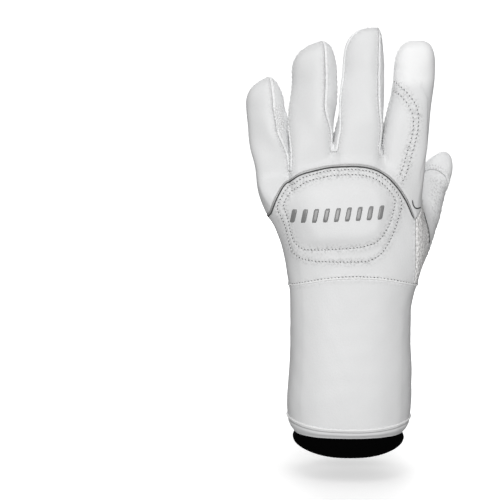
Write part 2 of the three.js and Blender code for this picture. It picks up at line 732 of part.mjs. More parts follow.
function panelGeometry(skin, normals, panel) {
  const faces = skin.faces.filter((f) => f.panel === panel).map((f) => f.at);
  const borders = new Map(); // vertex -> its two border edges
  const used = new Map();
  for (const at of faces) {
    at.forEach((a, i) => {
      const b = at[(i + 1) % at.length];
      used.set(edgeKey(a, b), (used.get(edgeKey(a, b)) ?? 0) + 1);
    });
  }
  const borderEdges = [];
  for (const at of faces) {
    at.forEach((a, i) => {
      const b = at[(i + 1) % at.length];
      if (used.get(edgeKey(a, b)) === 1) borderEdges.push([a, b]);
    });
  }
  for (const edge of borderEdges) {
    for (const v of edge) borders.set(v, [...(borders.get(v) ?? []), edge]);
  }

  // A border vertex moves in from each of its two edges by that edge's half gap
  const moved = (v) => {
    const p = skin.points[v].clone();
    const edges = borders.get(v);
    if (!edges) return p;
    const pulls = edges.map(([a, b]) => {
      const run = skin.points[b].clone().sub(skin.points[a]);
      return {
        inward: normals[v].clone().cross(run).normalize(),
        gap: skin.wide.get(edgeKey(a, b)) ?? SEAM_HALF_GAP,
      };
    });
    const [one, two] = pulls;
    const dot = one.inward.dot(two.inward);
    const both = one.inward.clone().add(two.inward);
    if (one.gap === two.gap) return p.addScaledVector(both, one.gap / Math.max(1 + dot, 0.4));
    if (dot > 0.8) return p.addScaledVector(both.normalize(), Math.max(one.gap, two.gap));
    const det = 1 - dot * dot;
    return p
      .addScaledVector(one.inward, (one.gap - dot * two.gap) / det)
      .addScaledVector(two.inward, (two.gap - dot * one.gap) / det);
  };

  const numbers = new Map();
  const outer = [];
  const inner = [];
  const thickness = THICKNESS[panel] ?? LEATHER;
  const number = (v) => {
    if (!numbers.has(v)) {
      numbers.set(v, outer.length);
      const p = moved(v);
      outer.push(p);
      inner.push(p.clone().addScaledVector(normals[v], -thickness));
    }
    return numbers.get(v);
  };
  const triangles = [];
  const flat = (at) => (at.length > 3 ? [[at[0], at[1], at[2]], [at[0], at[2], at[3]]] : [at]);
  const tri = (a, b, c) => triangles.push(a, b, c);
  for (const at of faces) {
    for (const [a, b, c] of flat(at.map(number))) {
      tri(outer[a], outer[b], outer[c]);
      tri(inner[a], inner[c], inner[b]);
    }
  }
  // Both panels at a seam split its wall along the same diagonal, so that a twist keeps the gap even
  for (const [v, w] of borderEdges) {
    const [a, b] = [number(v), number(w)];
    if (v < w) {
      tri(outer[a], inner[a], inner[b]);
      tri(outer[a], inner[b], outer[b]);
    } else {
      tri(outer[a], inner[a], outer[b]);
      tri(outer[b], inner[a], inner[b]);
    }
  }
  return geometryOf(triangles);
}

function geometryOf(triangles) {
  const positions = new Float32Array(triangles.flatMap((p) => [p.x, p.y, p.z]));
  const geometry = new THREE.BufferGeometry();
  geometry.setAttribute("position", new THREE.BufferAttribute(positions, 3));
  geometry.computeVertexNormals();
  return geometry;
}

// A closed solid through rings of equal length. An open run of rings gets flat ends, and a closed one joins up.
function loft(rings, closed = false) {
  const triangles = [];
  const count = rings.length;
  for (let r = 0; r < (closed ? count : count - 1); r++) {
    const a = rings[r];
    const b = rings[(r + 1) % count];
    for (let i = 0; i < a.length; i++) {
      const j = (i + 1) % a.length;
      triangles.push(a[i], a[j], b[j], a[i], b[j], b[i]);
    }
  }
  if (!closed) {
    const fan = (ring, flip) => {
      const middle = ring.reduce((sum, p) => sum.add(p), vector(0, 0, 0)).divideScalar(ring.length);
      ring.forEach((p, i) => {
        const q = ring[(i + 1) % ring.length];
        triangles.push(...(flip ? [q, p, middle] : [p, q, middle]));
      });
    };
    fan(rings[0], true);
    fan(rings[count - 1], false);
  }
  return geometryOf(triangles);
}

// A cord of round section with its centre on a line of skin vertices
function cordGeometry(skin, normals, line, radius, sides, closed) {
  const points = line.map((v) => skin.points[v].clone());
  if (!closed) {
    const pull = (end, next) => end.addScaledVector(next.clone().sub(end).normalize(), CORD_END_GAP);
    pull(points[0], points[1]);
    pull(points[points.length - 1], points[points.length - 2]);
  }
  const rings = points.map((p, i) => {
    const before = points[closed ? (i + points.length - 1) % points.length : Math.max(i - 1, 0)];
    const after = points[closed ? (i + 1) % points.length : Math.min(i + 1, points.length - 1)];
    const run = after.clone().sub(before).normalize();
    const out = normals[line[i]].clone();
    out.addScaledVector(run, -out.dot(run)).normalize();
    const across = run.clone().cross(out);
    return Array.from({ length: sides }, (_, s) => {
      const angle = (2 * Math.PI * s) / sides;
      return p
        .clone()
        .addScaledVector(out, radius * Math.cos(angle))
        .addScaledVector(across, radius * Math.sin(angle));
    });
  });
  return loft(rings, closed);
}

// Where a line along Y meets the skin, from the back (-1) or the palm (1), with the normal there
function surface(skin) {
  const soup = skin.faces.flatMap(({ at }) => {
    const p = at.map((i) => skin.points[i]);
    return at.length > 3 ? [p[0], p[1], p[2], p[0], p[2], p[3]] : p;
  });
  const target = new THREE.Mesh(geometryOf(soup), new THREE.MeshBasicMaterial({ side: THREE.DoubleSide }));
  const caster = new THREE.Raycaster();
  return (x, z, side) => {
    caster.set(vector(x, side * 200, z), vector(0, -side, 0));
    const [hit] = caster.intersectObject(target);
    const normal = hit.face.normal.clone();
    return { point: hit.point.clone(), normal: normal.y * side < 0 ? normal.negate() : normal };
  };
}

// A patch that follows the skin: a grid of stations with a height over the skin for its top
function patch(grid, onSkin, side, clearance, height) {
  const base = grid.map((row) => row.map(({ x, z }) => onSkin(x, z, side)));
  const lift = (r, c, h) => base[r][c].point.clone().addScaledVector(vector(0, side, 0), h);
  const triangles = [];
  const quad = (a, b, c, d) => triangles.push(a, b, c, a, c, d);
  const rows = grid.length;
  const columns = grid[0].length;
  const low = (r, c) => lift(r, c, clearance);
  const high = (r, c) => lift(r, c, clearance + height(r, c));
  const up = side < 0;
  const put = (a, b, c, d) => (up ? quad(a, b, c, d) : quad(d, c, b, a));
  for (let r = 0; r < rows - 1; r++) {
    for (let c = 0; c < columns - 1; c++) {
      put(high(r, c), high(r, c + 1), high(r + 1, c + 1), high(r + 1, c));
      put(low(r + 1, c), low(r + 1, c + 1), low(r, c + 1), low(r, c));
    }
  }
  for (let c = 0; c < columns - 1; c++) {
    put(low(0, c), low(0, c + 1), high(0, c + 1), high(0, c));
    put(low(rows - 1, c + 1), low(rows - 1, c), high(rows - 1, c), high(rows - 1, c + 1));
  }
  for (let r = 0; r < rows - 1; r++) {
    put(low(r + 1, 0), low(r, 0), high(r, 0), high(r + 1, 0));
    put(low(r, columns - 1), low(r + 1, columns - 1), high(r + 1, columns - 1), high(r, columns - 1));
  }
  return geometryOf(triangles);
}

// Ribbed pad: a square grid stretched between its two edges, with a crest on every other row
function padGeometry(pad, onSkin) {
  const rows = 2 * pad.ribs + 1;
  const columns = 7;
  const edge = columnsOf(pad.edges, "z", ["left", "right"]);
  const low = pad.edges[0].z;
  const high = pad.edges[pad.edges.length - 1].z;
  const lean = Math.tan(degrees(pad.ribLean));
  const grid = Array.from({ length: rows }, (_, r) => {
    const up = -1 + (2 * r) / (rows - 1);
    const level = lerp(low, high, r / (rows - 1));
    const middle = (edge.left(level) + edge.right(level)) / 2;
    return Array.from({ length: columns }, (_, c) => {
      const across = lerp(edge.left(level), edge.right(level), c / (columns - 1)) - middle;
      const z = clamp(level + across * lean * (1 - up * up), low, high);
      return { x: lerp(edge.left(z), edge.right(z), c / (columns - 1)), z };
    });
  });
  return patch(grid, onSkin, 1, 0.4, (r, c) => {
    const inside = r > 0 && r < rows - 1 && c > 0 && c < columns - 1;
    return PAD_BASE + (inside && r % 2 ? PAD_RIB : 0);
  });
}

function barGeometry(number, onSkin) {
  const pitch = (BARS.to - BARS.from) / (BARS.count - 1);
  const left = BARS.from + number * pitch - BARS.width / 2;
  const grid = [0, 0.5, 1].map((t) => {
    const shift = BARS.lean * (t - 0.5);
    const z = lerp(BARS.low, BARS.high, t);
    return [0, 0.5, 1].map((s) => ({ x: left + shift + s * BARS.width, z }));
  });
  return patch(grid, onSkin, -1, 0.45, () => BARS.thick);
}

// Inner cuff: a fleece tube that shows below the hem
function innerCuffGeometry() {
  const sides = 32;
  const inset = along([...INNER_CUFF].reverse(), "z", "in");
  const heights = INNER_CUFF.map((row) => row.z);
  const ring = (z, extra) => {
    const level = Math.max(z, HEM_EDGE_Z);
    const d = inset(z) + extra;
    const half = (body.radial(level) - body.ulnar(level)) / 2 - d;
    const depth = (body.palm(level) - body.back(level)) / 2 - d;
    const centre = (body.radial(level) + body.ulnar(level)) / 2;
    return Array.from({ length: sides }, (_, i) => {
      const [u, v] = superellipse((2 * Math.PI * i) / sides, BODY_SQUARENESS);
      const climb = FLEECE_LIFT * Math.abs(u) ** 3 * (1 - ease(-2, 10.5, z));
      return vector(centre + u * half, -v * depth, z + climb);
    });
  };
  const outside = heights.map((z) => ring(z, 0));
  const inside = heights.filter((z) => z === 62 || z === 40 || z === 19.5 || z === -2).map((z) => ring(z, FLEECE));
  return loft([...outside, ...inside.reverse()], true);
}

// Materials

const material = (color, roughness, metalness = 0) => new THREE.MeshStandardMaterial({ color, roughness, metalness });
const WHITE_LEATHER = material("#e6e7e6", 0.55);
const WHITE_SIDE = material("#d9dadb", 0.6);
const GREY_SUEDE = material("#bfc2c2", 0.9);
const PALE_KNIT = material("#e2e1dd", 0.95);
const REFLECTIVE = material("#8f9190", 0.4, 0.15);
const BLACK_FLEECE = material("#0b0b0c", 0.98);
const WHITE_WELT = material("#eeeeec", 0.6);
const GREY_GRIP = material("#a9acab", 0.6);

const PANEL_MATERIALS = {
  finger_backs: WHITE_LEATHER,
  index_wrap: WHITE_LEATHER,
  back_panel: WHITE_LEATHER,
  cuff: WHITE_LEATHER,
  hem_band: WHITE_LEATHER,
  thumb_back: WHITE_LEATHER,
  thumb_cap: WHITE_LEATHER,
  palm_panel: GREY_SUEDE,
  thumb_palm: GREY_SUEDE,
  thumb_gusset: PALE_KNIT,
  [sideWalls(0)]: WHITE_SIDE,
  [sideWalls(1)]: WHITE_SIDE,
  [sideWalls(2)]: WHITE_SIDE,
};

function piece(name, geometry, look) {
  const mesh = new THREE.Mesh(geometry, look);
  mesh.name = name;
  return mesh;
}

function buildGlove() {
  const glove = new THREE.Group();
  const skin = buildSkin();
  const normals = skin.normals();
  const onSkin = surface(skin);

  const shell = new THREE.Group();
  for (const [name, look] of Object.entries(PANEL_MATERIALS)) {
    shell.add(piece(name, panelGeometry(skin, normals, name), look));
  }
  glove.add(shell);

  const trim = new THREE.Group();
  trim.add(piece("arch_piping", cordGeometry(skin, normals, skin.lines.arch, CORD_RADIUS, 8, false), REFLECTIVE));
  trim.add(piece("wrist_welt", cordGeometry(skin, normals, skin.lines.wrist, WELT_RADIUS, 6, true), WHITE_WELT));
  trim.add(piece("hem_welt", cordGeometry(skin, normals, skin.lines.hem, WELT_RADIUS, 6, true), WHITE_WELT));
  for (let i = 0; i < BARS.count; i++) {
    trim.add(piece("reflective_bar_" + (i + 1), barGeometry(i, onSkin), REFLECTIVE));
  }
  glove.add(trim);

  const pads = new THREE.Group();
  for (const pad of PADS) pads.add(piece(pad.name, padGeometry(pad, onSkin), GREY_GRIP));
  glove.add(pads);

  glove.add(piece("inner_cuff", innerCuffGeometry(), BLACK_FLEECE));
  return glove;
}

export default buildGlove();
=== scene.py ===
"""A padded winter glove for a left hand, dressed over its CAD frame.

The glove is held upright as if worn, with its back to the camera. Its lengths are millimetres until they reach
Blender; the studio's are metres. +Z runs to the fingertips, -Y out of the back of the hand, +X to the thumb.
"""

import logging
import math
from collections.abc import Sequence
from dataclasses import dataclass, field
from enum import IntEnum

import bpy
import numpy as np
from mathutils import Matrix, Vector
from mathutils.bvhtree import BVHTree


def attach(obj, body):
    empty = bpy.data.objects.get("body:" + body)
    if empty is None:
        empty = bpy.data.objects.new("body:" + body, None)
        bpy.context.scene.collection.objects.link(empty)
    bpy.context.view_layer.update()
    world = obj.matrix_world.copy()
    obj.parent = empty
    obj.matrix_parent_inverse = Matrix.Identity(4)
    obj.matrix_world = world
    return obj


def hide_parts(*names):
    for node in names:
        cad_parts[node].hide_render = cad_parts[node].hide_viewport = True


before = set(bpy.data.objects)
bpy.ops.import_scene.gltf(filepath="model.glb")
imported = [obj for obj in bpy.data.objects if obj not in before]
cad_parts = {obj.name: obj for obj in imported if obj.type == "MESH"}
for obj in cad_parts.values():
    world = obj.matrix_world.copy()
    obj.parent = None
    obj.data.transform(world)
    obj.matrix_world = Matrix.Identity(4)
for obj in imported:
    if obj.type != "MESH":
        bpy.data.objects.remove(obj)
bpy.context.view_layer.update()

LOG = logging.getLogger("glove")
MM = 0.001
BLOCK = 3000  # points compared with all targets at once
SEAM_REACH = 4.0  # the largest distance to a seam, in mm, that a piece keeps for its material
FAR = 9.0  # a distance in mm at which no seam or stitch is felt
Array = np.ndarray
Piece = bpy.types.Object
Material = bpy.types.Material


class Panel(IntEnum):
    """The sewn panels of the skin, by the CAD node that each one dresses."""

    HEM_BAND = 0
    CUFF = 1
    BACK_PANEL = 2
    FINGER_BACKS = 3
    INDEX_WRAP = 4
    PALM_PANEL = 5
    SIDE_WALLS_LITTLE_RING = 6
    SIDE_WALLS_RING_MIDDLE = 7
    SIDE_WALLS_MIDDLE_INDEX = 8
    THUMB_BACK = 9
    THUMB_PALM = 10
    THUMB_CAP = 11
    THUMB_GUSSET = 12
    THUMB_STRIP = 13

    @property
    def node(self) -> str:
        """Name of the CAD node that the panel stands for."""
        return self.name.lower()


class Face(IntEnum):
    """Which side of the hand a line is drawn on, as the sign of Y."""

    BACK = -1
    PALM = 1


Meeting = tuple[Panel, Panel]
SIDE_WALLS = (Panel.SIDE_WALLS_LITTLE_RING, Panel.SIDE_WALLS_RING_MIDDLE, Panel.SIDE_WALLS_MIDDLE_INDEX)


def meetings(panel: Panel, *others: Panel) -> tuple[Meeting, ...]:
    """Return the meetings of one panel with some others."""
    return tuple((panel, other) for other in others)


HEM_SEAM = (Panel.CUFF, Panel.HEM_BAND)
ARCH_SEAM = (Panel.BACK_PANEL, Panel.FINGER_BACKS)
WRIST_SEAM = meetings(Panel.CUFF, Panel.BACK_PANEL, Panel.PALM_PANEL, Panel.THUMB_GUSSET)
THUMB_FOLD = meetings(Panel.THUMB_BACK, Panel.INDEX_WRAP, Panel.THUMB_GUSSET, Panel.THUMB_STRIP)
CAP_SEAM = meetings(Panel.THUMB_CAP, Panel.THUMB_BACK, Panel.THUMB_PALM, Panel.THUMB_STRIP)
NOT_PLAIN = (  # seams that are corded or piped, and meetings of panels that are one piece of cloth
    HEM_SEAM, ARCH_SEAM, (Panel.FINGER_BACKS, Panel.INDEX_WRAP), (Panel.THUMB_PALM, Panel.PALM_PANEL),
    (Panel.THUMB_GUSSET, Panel.THUMB_STRIP),
)


# Smooth tables and small array helpers


class Profile:
    """A column of a table as a smooth function of another one, level at both ends.

    Between two rows it is the cubic that has the harmonic mean of the neighbouring slopes at each row, so it
    never overshoots a row.
    """

    def __init__(self, at: Sequence[float], value: Sequence[float]) -> None:
        """Work out the slope at each row.

        Args:
            at: the rows' places, in rising order.
            value: the rows' values.
        """
        self.at = np.asarray(at, float)
        self.value = np.asarray(value, float)
        step = np.diff(self.value) / np.diff(self.at)
        product = step[:-1] * step[1:]
        total = np.where(product > 0, step[:-1] + step[1:], 1.0)
        self.slope = np.concatenate([[0.0], np.where(product > 0, 2 * product / total, 0.0), [0.0]])

    def __call__(self, place: Array | float) -> Array:
        """Return the value at each place."""
        place = np.clip(np.asarray(place, float), self.at[0], self.at[-1])
        row = np.clip(np.searchsorted(self.at, place, side="right") - 1, 0, len(self.at) - 2)
        span = self.at[row + 1] - self.at[row]
        t = (place - self.at[row]) / span
        return (
            (2 * t**3 - 3 * t**2 + 1) * self.value[row]
            + (t**3 - 2 * t**2 + t) * span * self.slope[row]
            + (3 * t**2 - 2 * t**3) * self.value[row + 1]
            + (t**3 - t**2) * span * self.slope[row + 1]
        )


def ease(low: float, high: float, value: Array | float) -> Array:
    """Return 0 below low, 1 above high, and 3t^2 - 2t^3 between them."""
    t = np.clip((np.asarray(value, float) - low) / (high - low), 0, 1)
    return t * t * (3 - 2 * t)


def mix(a: Array | float, b: Array | float, share: Array | float) -> Array:
    """Return a + (b - a) * share."""
    return np.asarray(a) + (np.asarray(b) - np.asarray(a)) * share


def unit(vectors: Array) -> Array:
    """Return the vectors at length one."""
    return vectors / np.maximum(np.linalg.norm(vectors, axis=-1, keepdims=True), 1e-12)


def bell(value: Array, width: float, centre: float = 0.0) -> Array:
    """Return exp(-((value - centre) / width)^2)."""
    return np.exp(-(((value - centre) / width) ** 2))


def nearest_gap(points: Array, targets: Array) -> Array:
    """Return each point's distance to the nearest target, worked out a block of points at a time."""
    blocks = np.array_split(points, max(len(points) // BLOCK, 1))
    gaps = [((block[:, None] - targets[None]) ** 2).sum(axis=2).min(axis=1) for block in blocks]
    return np.sqrt(np.concatenate(gaps))


def superellipse(angle: Array, squareness: Array | float) -> tuple[Array, Array]:
    """Return sign(c)|c|^(2/n) and sign(s)|s|^(2/n), for the cosine and sine of an angle and the power n."""
    c, s = np.cos(angle), np.sin(angle)
    return np.sign(c) * np.abs(c) ** (2 / squareness), np.sign(s) * np.abs(s) ** (2 / squareness)


def smooth_noise(points: Array, size: float, seed: int) -> Array:
    """Return a soft random field in -1..1 at each point.

    It is the mean of seven sine waves of about the given size in mm, each along its own direction.
    """
    dice = np.random.default_rng(seed)
    way = unit(dice.normal(size=(7, 3))) * dice.uniform(0.7, 1.4, size=(7, 1)) * (2 * math.pi / size)
    return np.sin(points @ way.T + dice.uniform(0, 6.28, 7)).mean(axis=1) * 1.8


def resample(path: Array, pitch: float) -> Array:
    """Return points at even steps of about pitch along a path."""
    length = np.concatenate([[0.0], np.cumsum(np.linalg.norm(np.diff(path, axis=0), axis=1))])
    count = max(int(round(length[-1] / pitch)), 2)
    at = np.linspace(0, length[-1], count + 1)
    return np.stack([np.interp(at, length, path[:, k]) for k in range(path.shape[1])], axis=1)


def resample_ring(path: Array, pitch: float) -> Array:
    """Return points at even steps of about pitch round a closed path."""
    return resample(np.concatenate([path, path[:1]]), pitch)[:-1]


def heading(path: Array, closed: bool = False) -> Array:
    """Return the direction of a path at each of its points."""
    if closed:
        return unit(np.roll(path, -1, axis=0) - np.roll(path, 1, axis=0))
    return unit(np.gradient(path, axis=0))


def turns(sides: int) -> Array:
    """Return even angles once round."""
    return np.linspace(0, 2 * np.pi, sides, endpoint=False)


def smooth_path(path: Array, rounds: int, closed: bool = False) -> Array:
    """Even out a path: each point moves half way to the mean of its two neighbours, rounds times."""
    path = path.copy()
    for _ in range(rounds):
        mean = (np.roll(path, 1, axis=0) + np.roll(path, -1, axis=0)) / 2
        if not closed:
            mean[0], mean[-1] = path[0], path[-1]
        path = (path + mean) / 2
    return path


def rounded_line(corners: Sequence[tuple[float, float]], rounds: int) -> Array:
    """Return a smooth line near some corner points in the XZ plane, at steps of about 1 mm."""
    return smooth_path(resample(np.asarray(corners, float), 1.0), rounds)


# Meshes


def new_mesh(name: str, points: Array, *faces: Array) -> Piece:
    """Make a smoothly shaded object at the origin.

    Args:
        name: the piece's name.
        points: vertex places in mm, in any layout.
        faces: arrays of vertex numbers, one array for each count of corners.

    Returns:
        The object, linked to the scene.
    """
    points = points.reshape(-1, 3)
    mesh = bpy.data.meshes.new(name)
    corners = np.concatenate([block.reshape(-1) for block in faces]).astype(np.int32)
    counts = np.concatenate([np.full(len(block), block.shape[1]) for block in faces])
    starts = np.concatenate([[0], np.cumsum(counts)[:-1]]).astype(np.int32)
    mesh.vertices.add(len(points))
    mesh.vertices.foreach_set("co", (points * MM).astype(np.float32).reshape(-1))
    mesh.loops.add(len(corners))
    mesh.loops.foreach_set("vertex_index", corners)
    mesh.polygons.add(len(starts))
    mesh.polygons.foreach_set("loop_start", starts)
    mesh.polygons.foreach_set("use_smooth", np.ones(len(starts), bool))
    mesh.update(calc_edges=True)
    mesh.validate()
    return link(name, mesh)


def link(name: str, data: bpy.types.ID) -> Piece:
    """Make an object of a mesh, a light or a camera, and link it to the scene."""
    thing = bpy.data.objects.new(name, data)
    bpy.context.scene.collection.objects.link(thing)
    return thing


def add_value(piece: Piece, name: str, values: Array) -> None:
    """Keep one number for each vertex of a piece, for its material to read."""
    layer = piece.data.attributes.new(name, "FLOAT", "POINT")
    layer.data.foreach_set("value", values.astype(np.float32))


def grid_faces(numbers: Array, closed: bool) -> Array:
    """Return the quads between the rows of a grid of vertex numbers, joined round its columns if closed."""
    if closed:
        numbers = np.concatenate([numbers, numbers[:, :1]], axis=1)
    quads = [numbers[:-1, :-1], numbers[:-1, 1:], numbers[1:, 1:], numbers[1:, :-1]]
    return np.stack(quads, axis=-1).reshape(-1, 4)


def wall(piece: Piece, thickness: float) -> None:
    """Give an open surface an even thickness in mm, behind its outside."""
    solid = piece.modifiers.new("wall", "SOLIDIFY")
    solid.thickness = thickness * MM
    solid.offset = -1


def dress(piece: Piece, finish: Material, slot: str, *nodes: str) -> Piece:
    """Give a piece its material and its body, hide the CAD nodes that it stands for, and report it."""
    piece.data.materials.append(finish)
    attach(piece, "root")
    if nodes:
        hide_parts(*nodes)
    LOG.info("%s: %d vertices", piece.name, len(piece.data.vertices))
    return piece


# The hand's form


def spread_columns(form: object, names: Sequence[str], rows: Sequence[Sequence[float]]) -> None:
    """Give a frozen form a smooth function of a table's first column for each other column."""
    columns = np.array(rows).T
    for name, column in zip(names, columns[1:]):
        object.__setattr__(form, name, Profile(columns[0], column))


@dataclass(frozen=True)
class BodyForm:
    """Outer section of the cuff and hand at each height, as superellipses."""

    rows: tuple[tuple[float, ...], ...] = (
        # z, ulnar side, radial side, back, palm, ulnar seam, radial seam
        (11, -37.4, 37.0, -26.6, 26.6, -30, 30),
        (14, -39.6, 39.4, -29.2, 29.2, -31.5, 31.5),
        (19.5, -41.2, 41.2, -31.0, 31.0, -33, 33),
        (32, -41.9, 42.3, -31.0, 31.0, -33.6, 34),
        (52, -40.7, 42.4, -29.6, 29.6, -32.6, 34),
        (72, -40.0, 41.4, -28.0, 28.2, -32, 34),
        (92, -40.1, 41.3, -26.4, 26.6, -32, 35.5),
        (105, -40.4, 43.3, -25.6, 26.6, -32.3, 38.5),
        (117, -42.2, 48.6, -25.0, 28.6, -33.5, 42.4),
        (128, -44.0, 52.4, -24.8, 30.6, -35, 42.4),
        (139, -46.8, 54.4, -24.6, 31.6, -37.5, 42),
        (150, -50.8, 52.2, -24.0, 30.6, -42, 42.2),
        (158, -54.3, 49.4, -23.2, 28.6, -45.5, 42.6),
        (170, -57.6, 47.6, -21.8, 25.4, -49, 42.6),
        (179, -60.6, 47.8, -20.4, 22.4, -51.5, 43.6),
        (188, -62.8, 49.3, -19.2, 19.0, -54, 46),
    )
    squareness: float = 2.35

    def __post_init__(self) -> None:
        """Turn each column into a smooth function of height."""
        spread_columns(self, ("ulnar", "radial", "back", "palm", "seam_ulnar", "seam_radial"), self.rows)

    def half(self, z: Array) -> Array:
        """Half the width at a height."""
        return (self.radial(z) - self.ulnar(z)) / 2

    def centre(self, z: Array) -> Array:
        """Middle of the width at a height."""
        return (self.radial(z) + self.ulnar(z)) / 2


@dataclass(frozen=True)
class FingerForm:
    """One finger: level sections along it, and the point that its tip closes on."""

    roll: float  # degrees that the tip is turned about Z
    seam: float  # degrees from the thumb's side to the back seam
    outer_tip: tuple[float, float]  # how late and how roundly the tip closes on the little finger's side
    inner_tip: tuple[float, float]  # the same on the thumb's side
    stations: tuple[tuple[float, float, float, float, float], ...]  # z, x, y, half width, half depth
    peak: tuple[float, float, float]
    crotches: tuple[float, float]  # heights of the finger line on its two sides

    def __post_init__(self) -> None:
        """Turn each column into a smooth function of height."""
        spread_columns(self, ("x", "y", "half", "depth"), self.stations)

    @property
    def base(self) -> float:
        """Height of the first section."""
        return self.stations[0][0]

    @property
    def shoulder(self) -> float:
        """Height at which the tip starts to close."""
        return self.stations[-1][0]

    def angles(self, columns: int) -> Array:
        """Angles round the finger, back first, with columns steps on each of its four sides."""
        s = self.seam
        sides = ((180 - s, s), (s, -s), (-s, s - 180), (s - 180, -180 - s))
        return np.radians(np.concatenate([np.linspace(a, b, columns, endpoint=False) for a, b in sides]))

    def closing(self, angle: Array, t: float) -> Array:
        """Return how much of the section is left at a share t of the tip: (1 - t^late)^(1 / round)."""
        outer, inner = ((1 - t**late) ** (1 / blunt) for late, blunt in (self.outer_tip, self.inner_tip))
        return mix(inner, outer, (1 - np.cos(angle)) / 2)

    def section(self, angle: Array, z: Array, close: Array = 1.0, share: Array = 0.0) -> Array:
        """Return points of the section at a height.

        A point is the centre plus a superellipse of the section's half sizes, turned about Z by the finger's
        roll, which grows from none at its base.

        Args:
            angle: 90 degrees faces out of the back, 0 to the thumb's side.
            z: height of the point.
            close: how much of the section's size is left, for the tip.
            share: how far the centre has moved towards the peak.

        Returns:
            An array of points, in mm.
        """
        level = np.minimum(z, self.shoulder)
        risen = ease(self.base, self.shoulder, z)
        u, v = superellipse(angle, mix(4, 2.6, risen))
        turn = math.radians(self.roll) * ease(0, 0.75, risen)
        across, out = u * self.half(level) * close, v * self.depth(level) * close
        x = mix(self.x(level), self.peak[0], share) + across * np.cos(turn) - out * np.sin(turn)
        y = mix(self.y(level), self.peak[1], share) - across * np.sin(turn) - out * np.cos(turn)
        return np.stack(np.broadcast_arrays(x, y, z), axis=-1)


@dataclass(frozen=True)
class ThumbForm:
    """The thumb's centre line with its half sizes, and the point that its tip closes on."""

    line: tuple[tuple[float, float, float, float, float], ...] = (
        # x, y, z, half width, half depth
        (42.3, 14, 140, 18.4, 17),
        (45.6, 22, 149.5, 15.6, 15.4),
        (49.2, 30, 158.5, 14.0, 14),
        (52.9, 36.5, 166, 13.0, 13),
        (56.1, 42, 172.5, 12.3, 12),
    )
    peak: tuple[float, float, float] = (69.6, 51.5, 195)
    nail: tuple[float, float, float] = (0.45, -0.72, 0.53)
    blunt: float = 1.8
    seam_on_nail: float = 1.24  # where the cap starts: 1 is the end of the centre line, and 2 the tip
    seam_on_palm: float = 0.62

    def at(self, t: Array) -> tuple[Array, Array]:
        """Return the centre and the two half sizes at shares t of the line, by a Catmull-Rom curve."""
        rows = np.array(self.line)
        rows = np.array([2 * rows[0] - rows[1], *rows, 2 * rows[-1] - rows[-2]])
        place = np.clip(np.asarray(t, float), 0, 1) * (len(self.line) - 1)
        i = np.minimum(place.astype(int), len(self.line) - 2)
        s = (place - i)[..., None]
        a, b, c, d = (rows[i + k] for k in range(4))
        bend, twist = 2 * a - 5 * b + 4 * c - d, 3 * b - a - 3 * c + d
        row = 0.5 * (2 * b + (c - a) * s + bend * s**2 + twist * s**3)
        return row[..., :3], row[..., 3:]

    def axes(self, t: Array) -> tuple[Array, Array]:
        """Return the directions to the nail and to its side at shares t of the line."""
        t = np.clip(t, 0, 1)
        run = unit(self.at(np.minimum(t + 0.01, 1))[0] - self.at(np.maximum(t - 0.01, 0))[0])
        nail = np.array(self.nail)
        nail = unit(nail - (run @ nail)[..., None] * run)
        return nail, np.cross(run, nail)


# The skin: one net of quads, smoothed


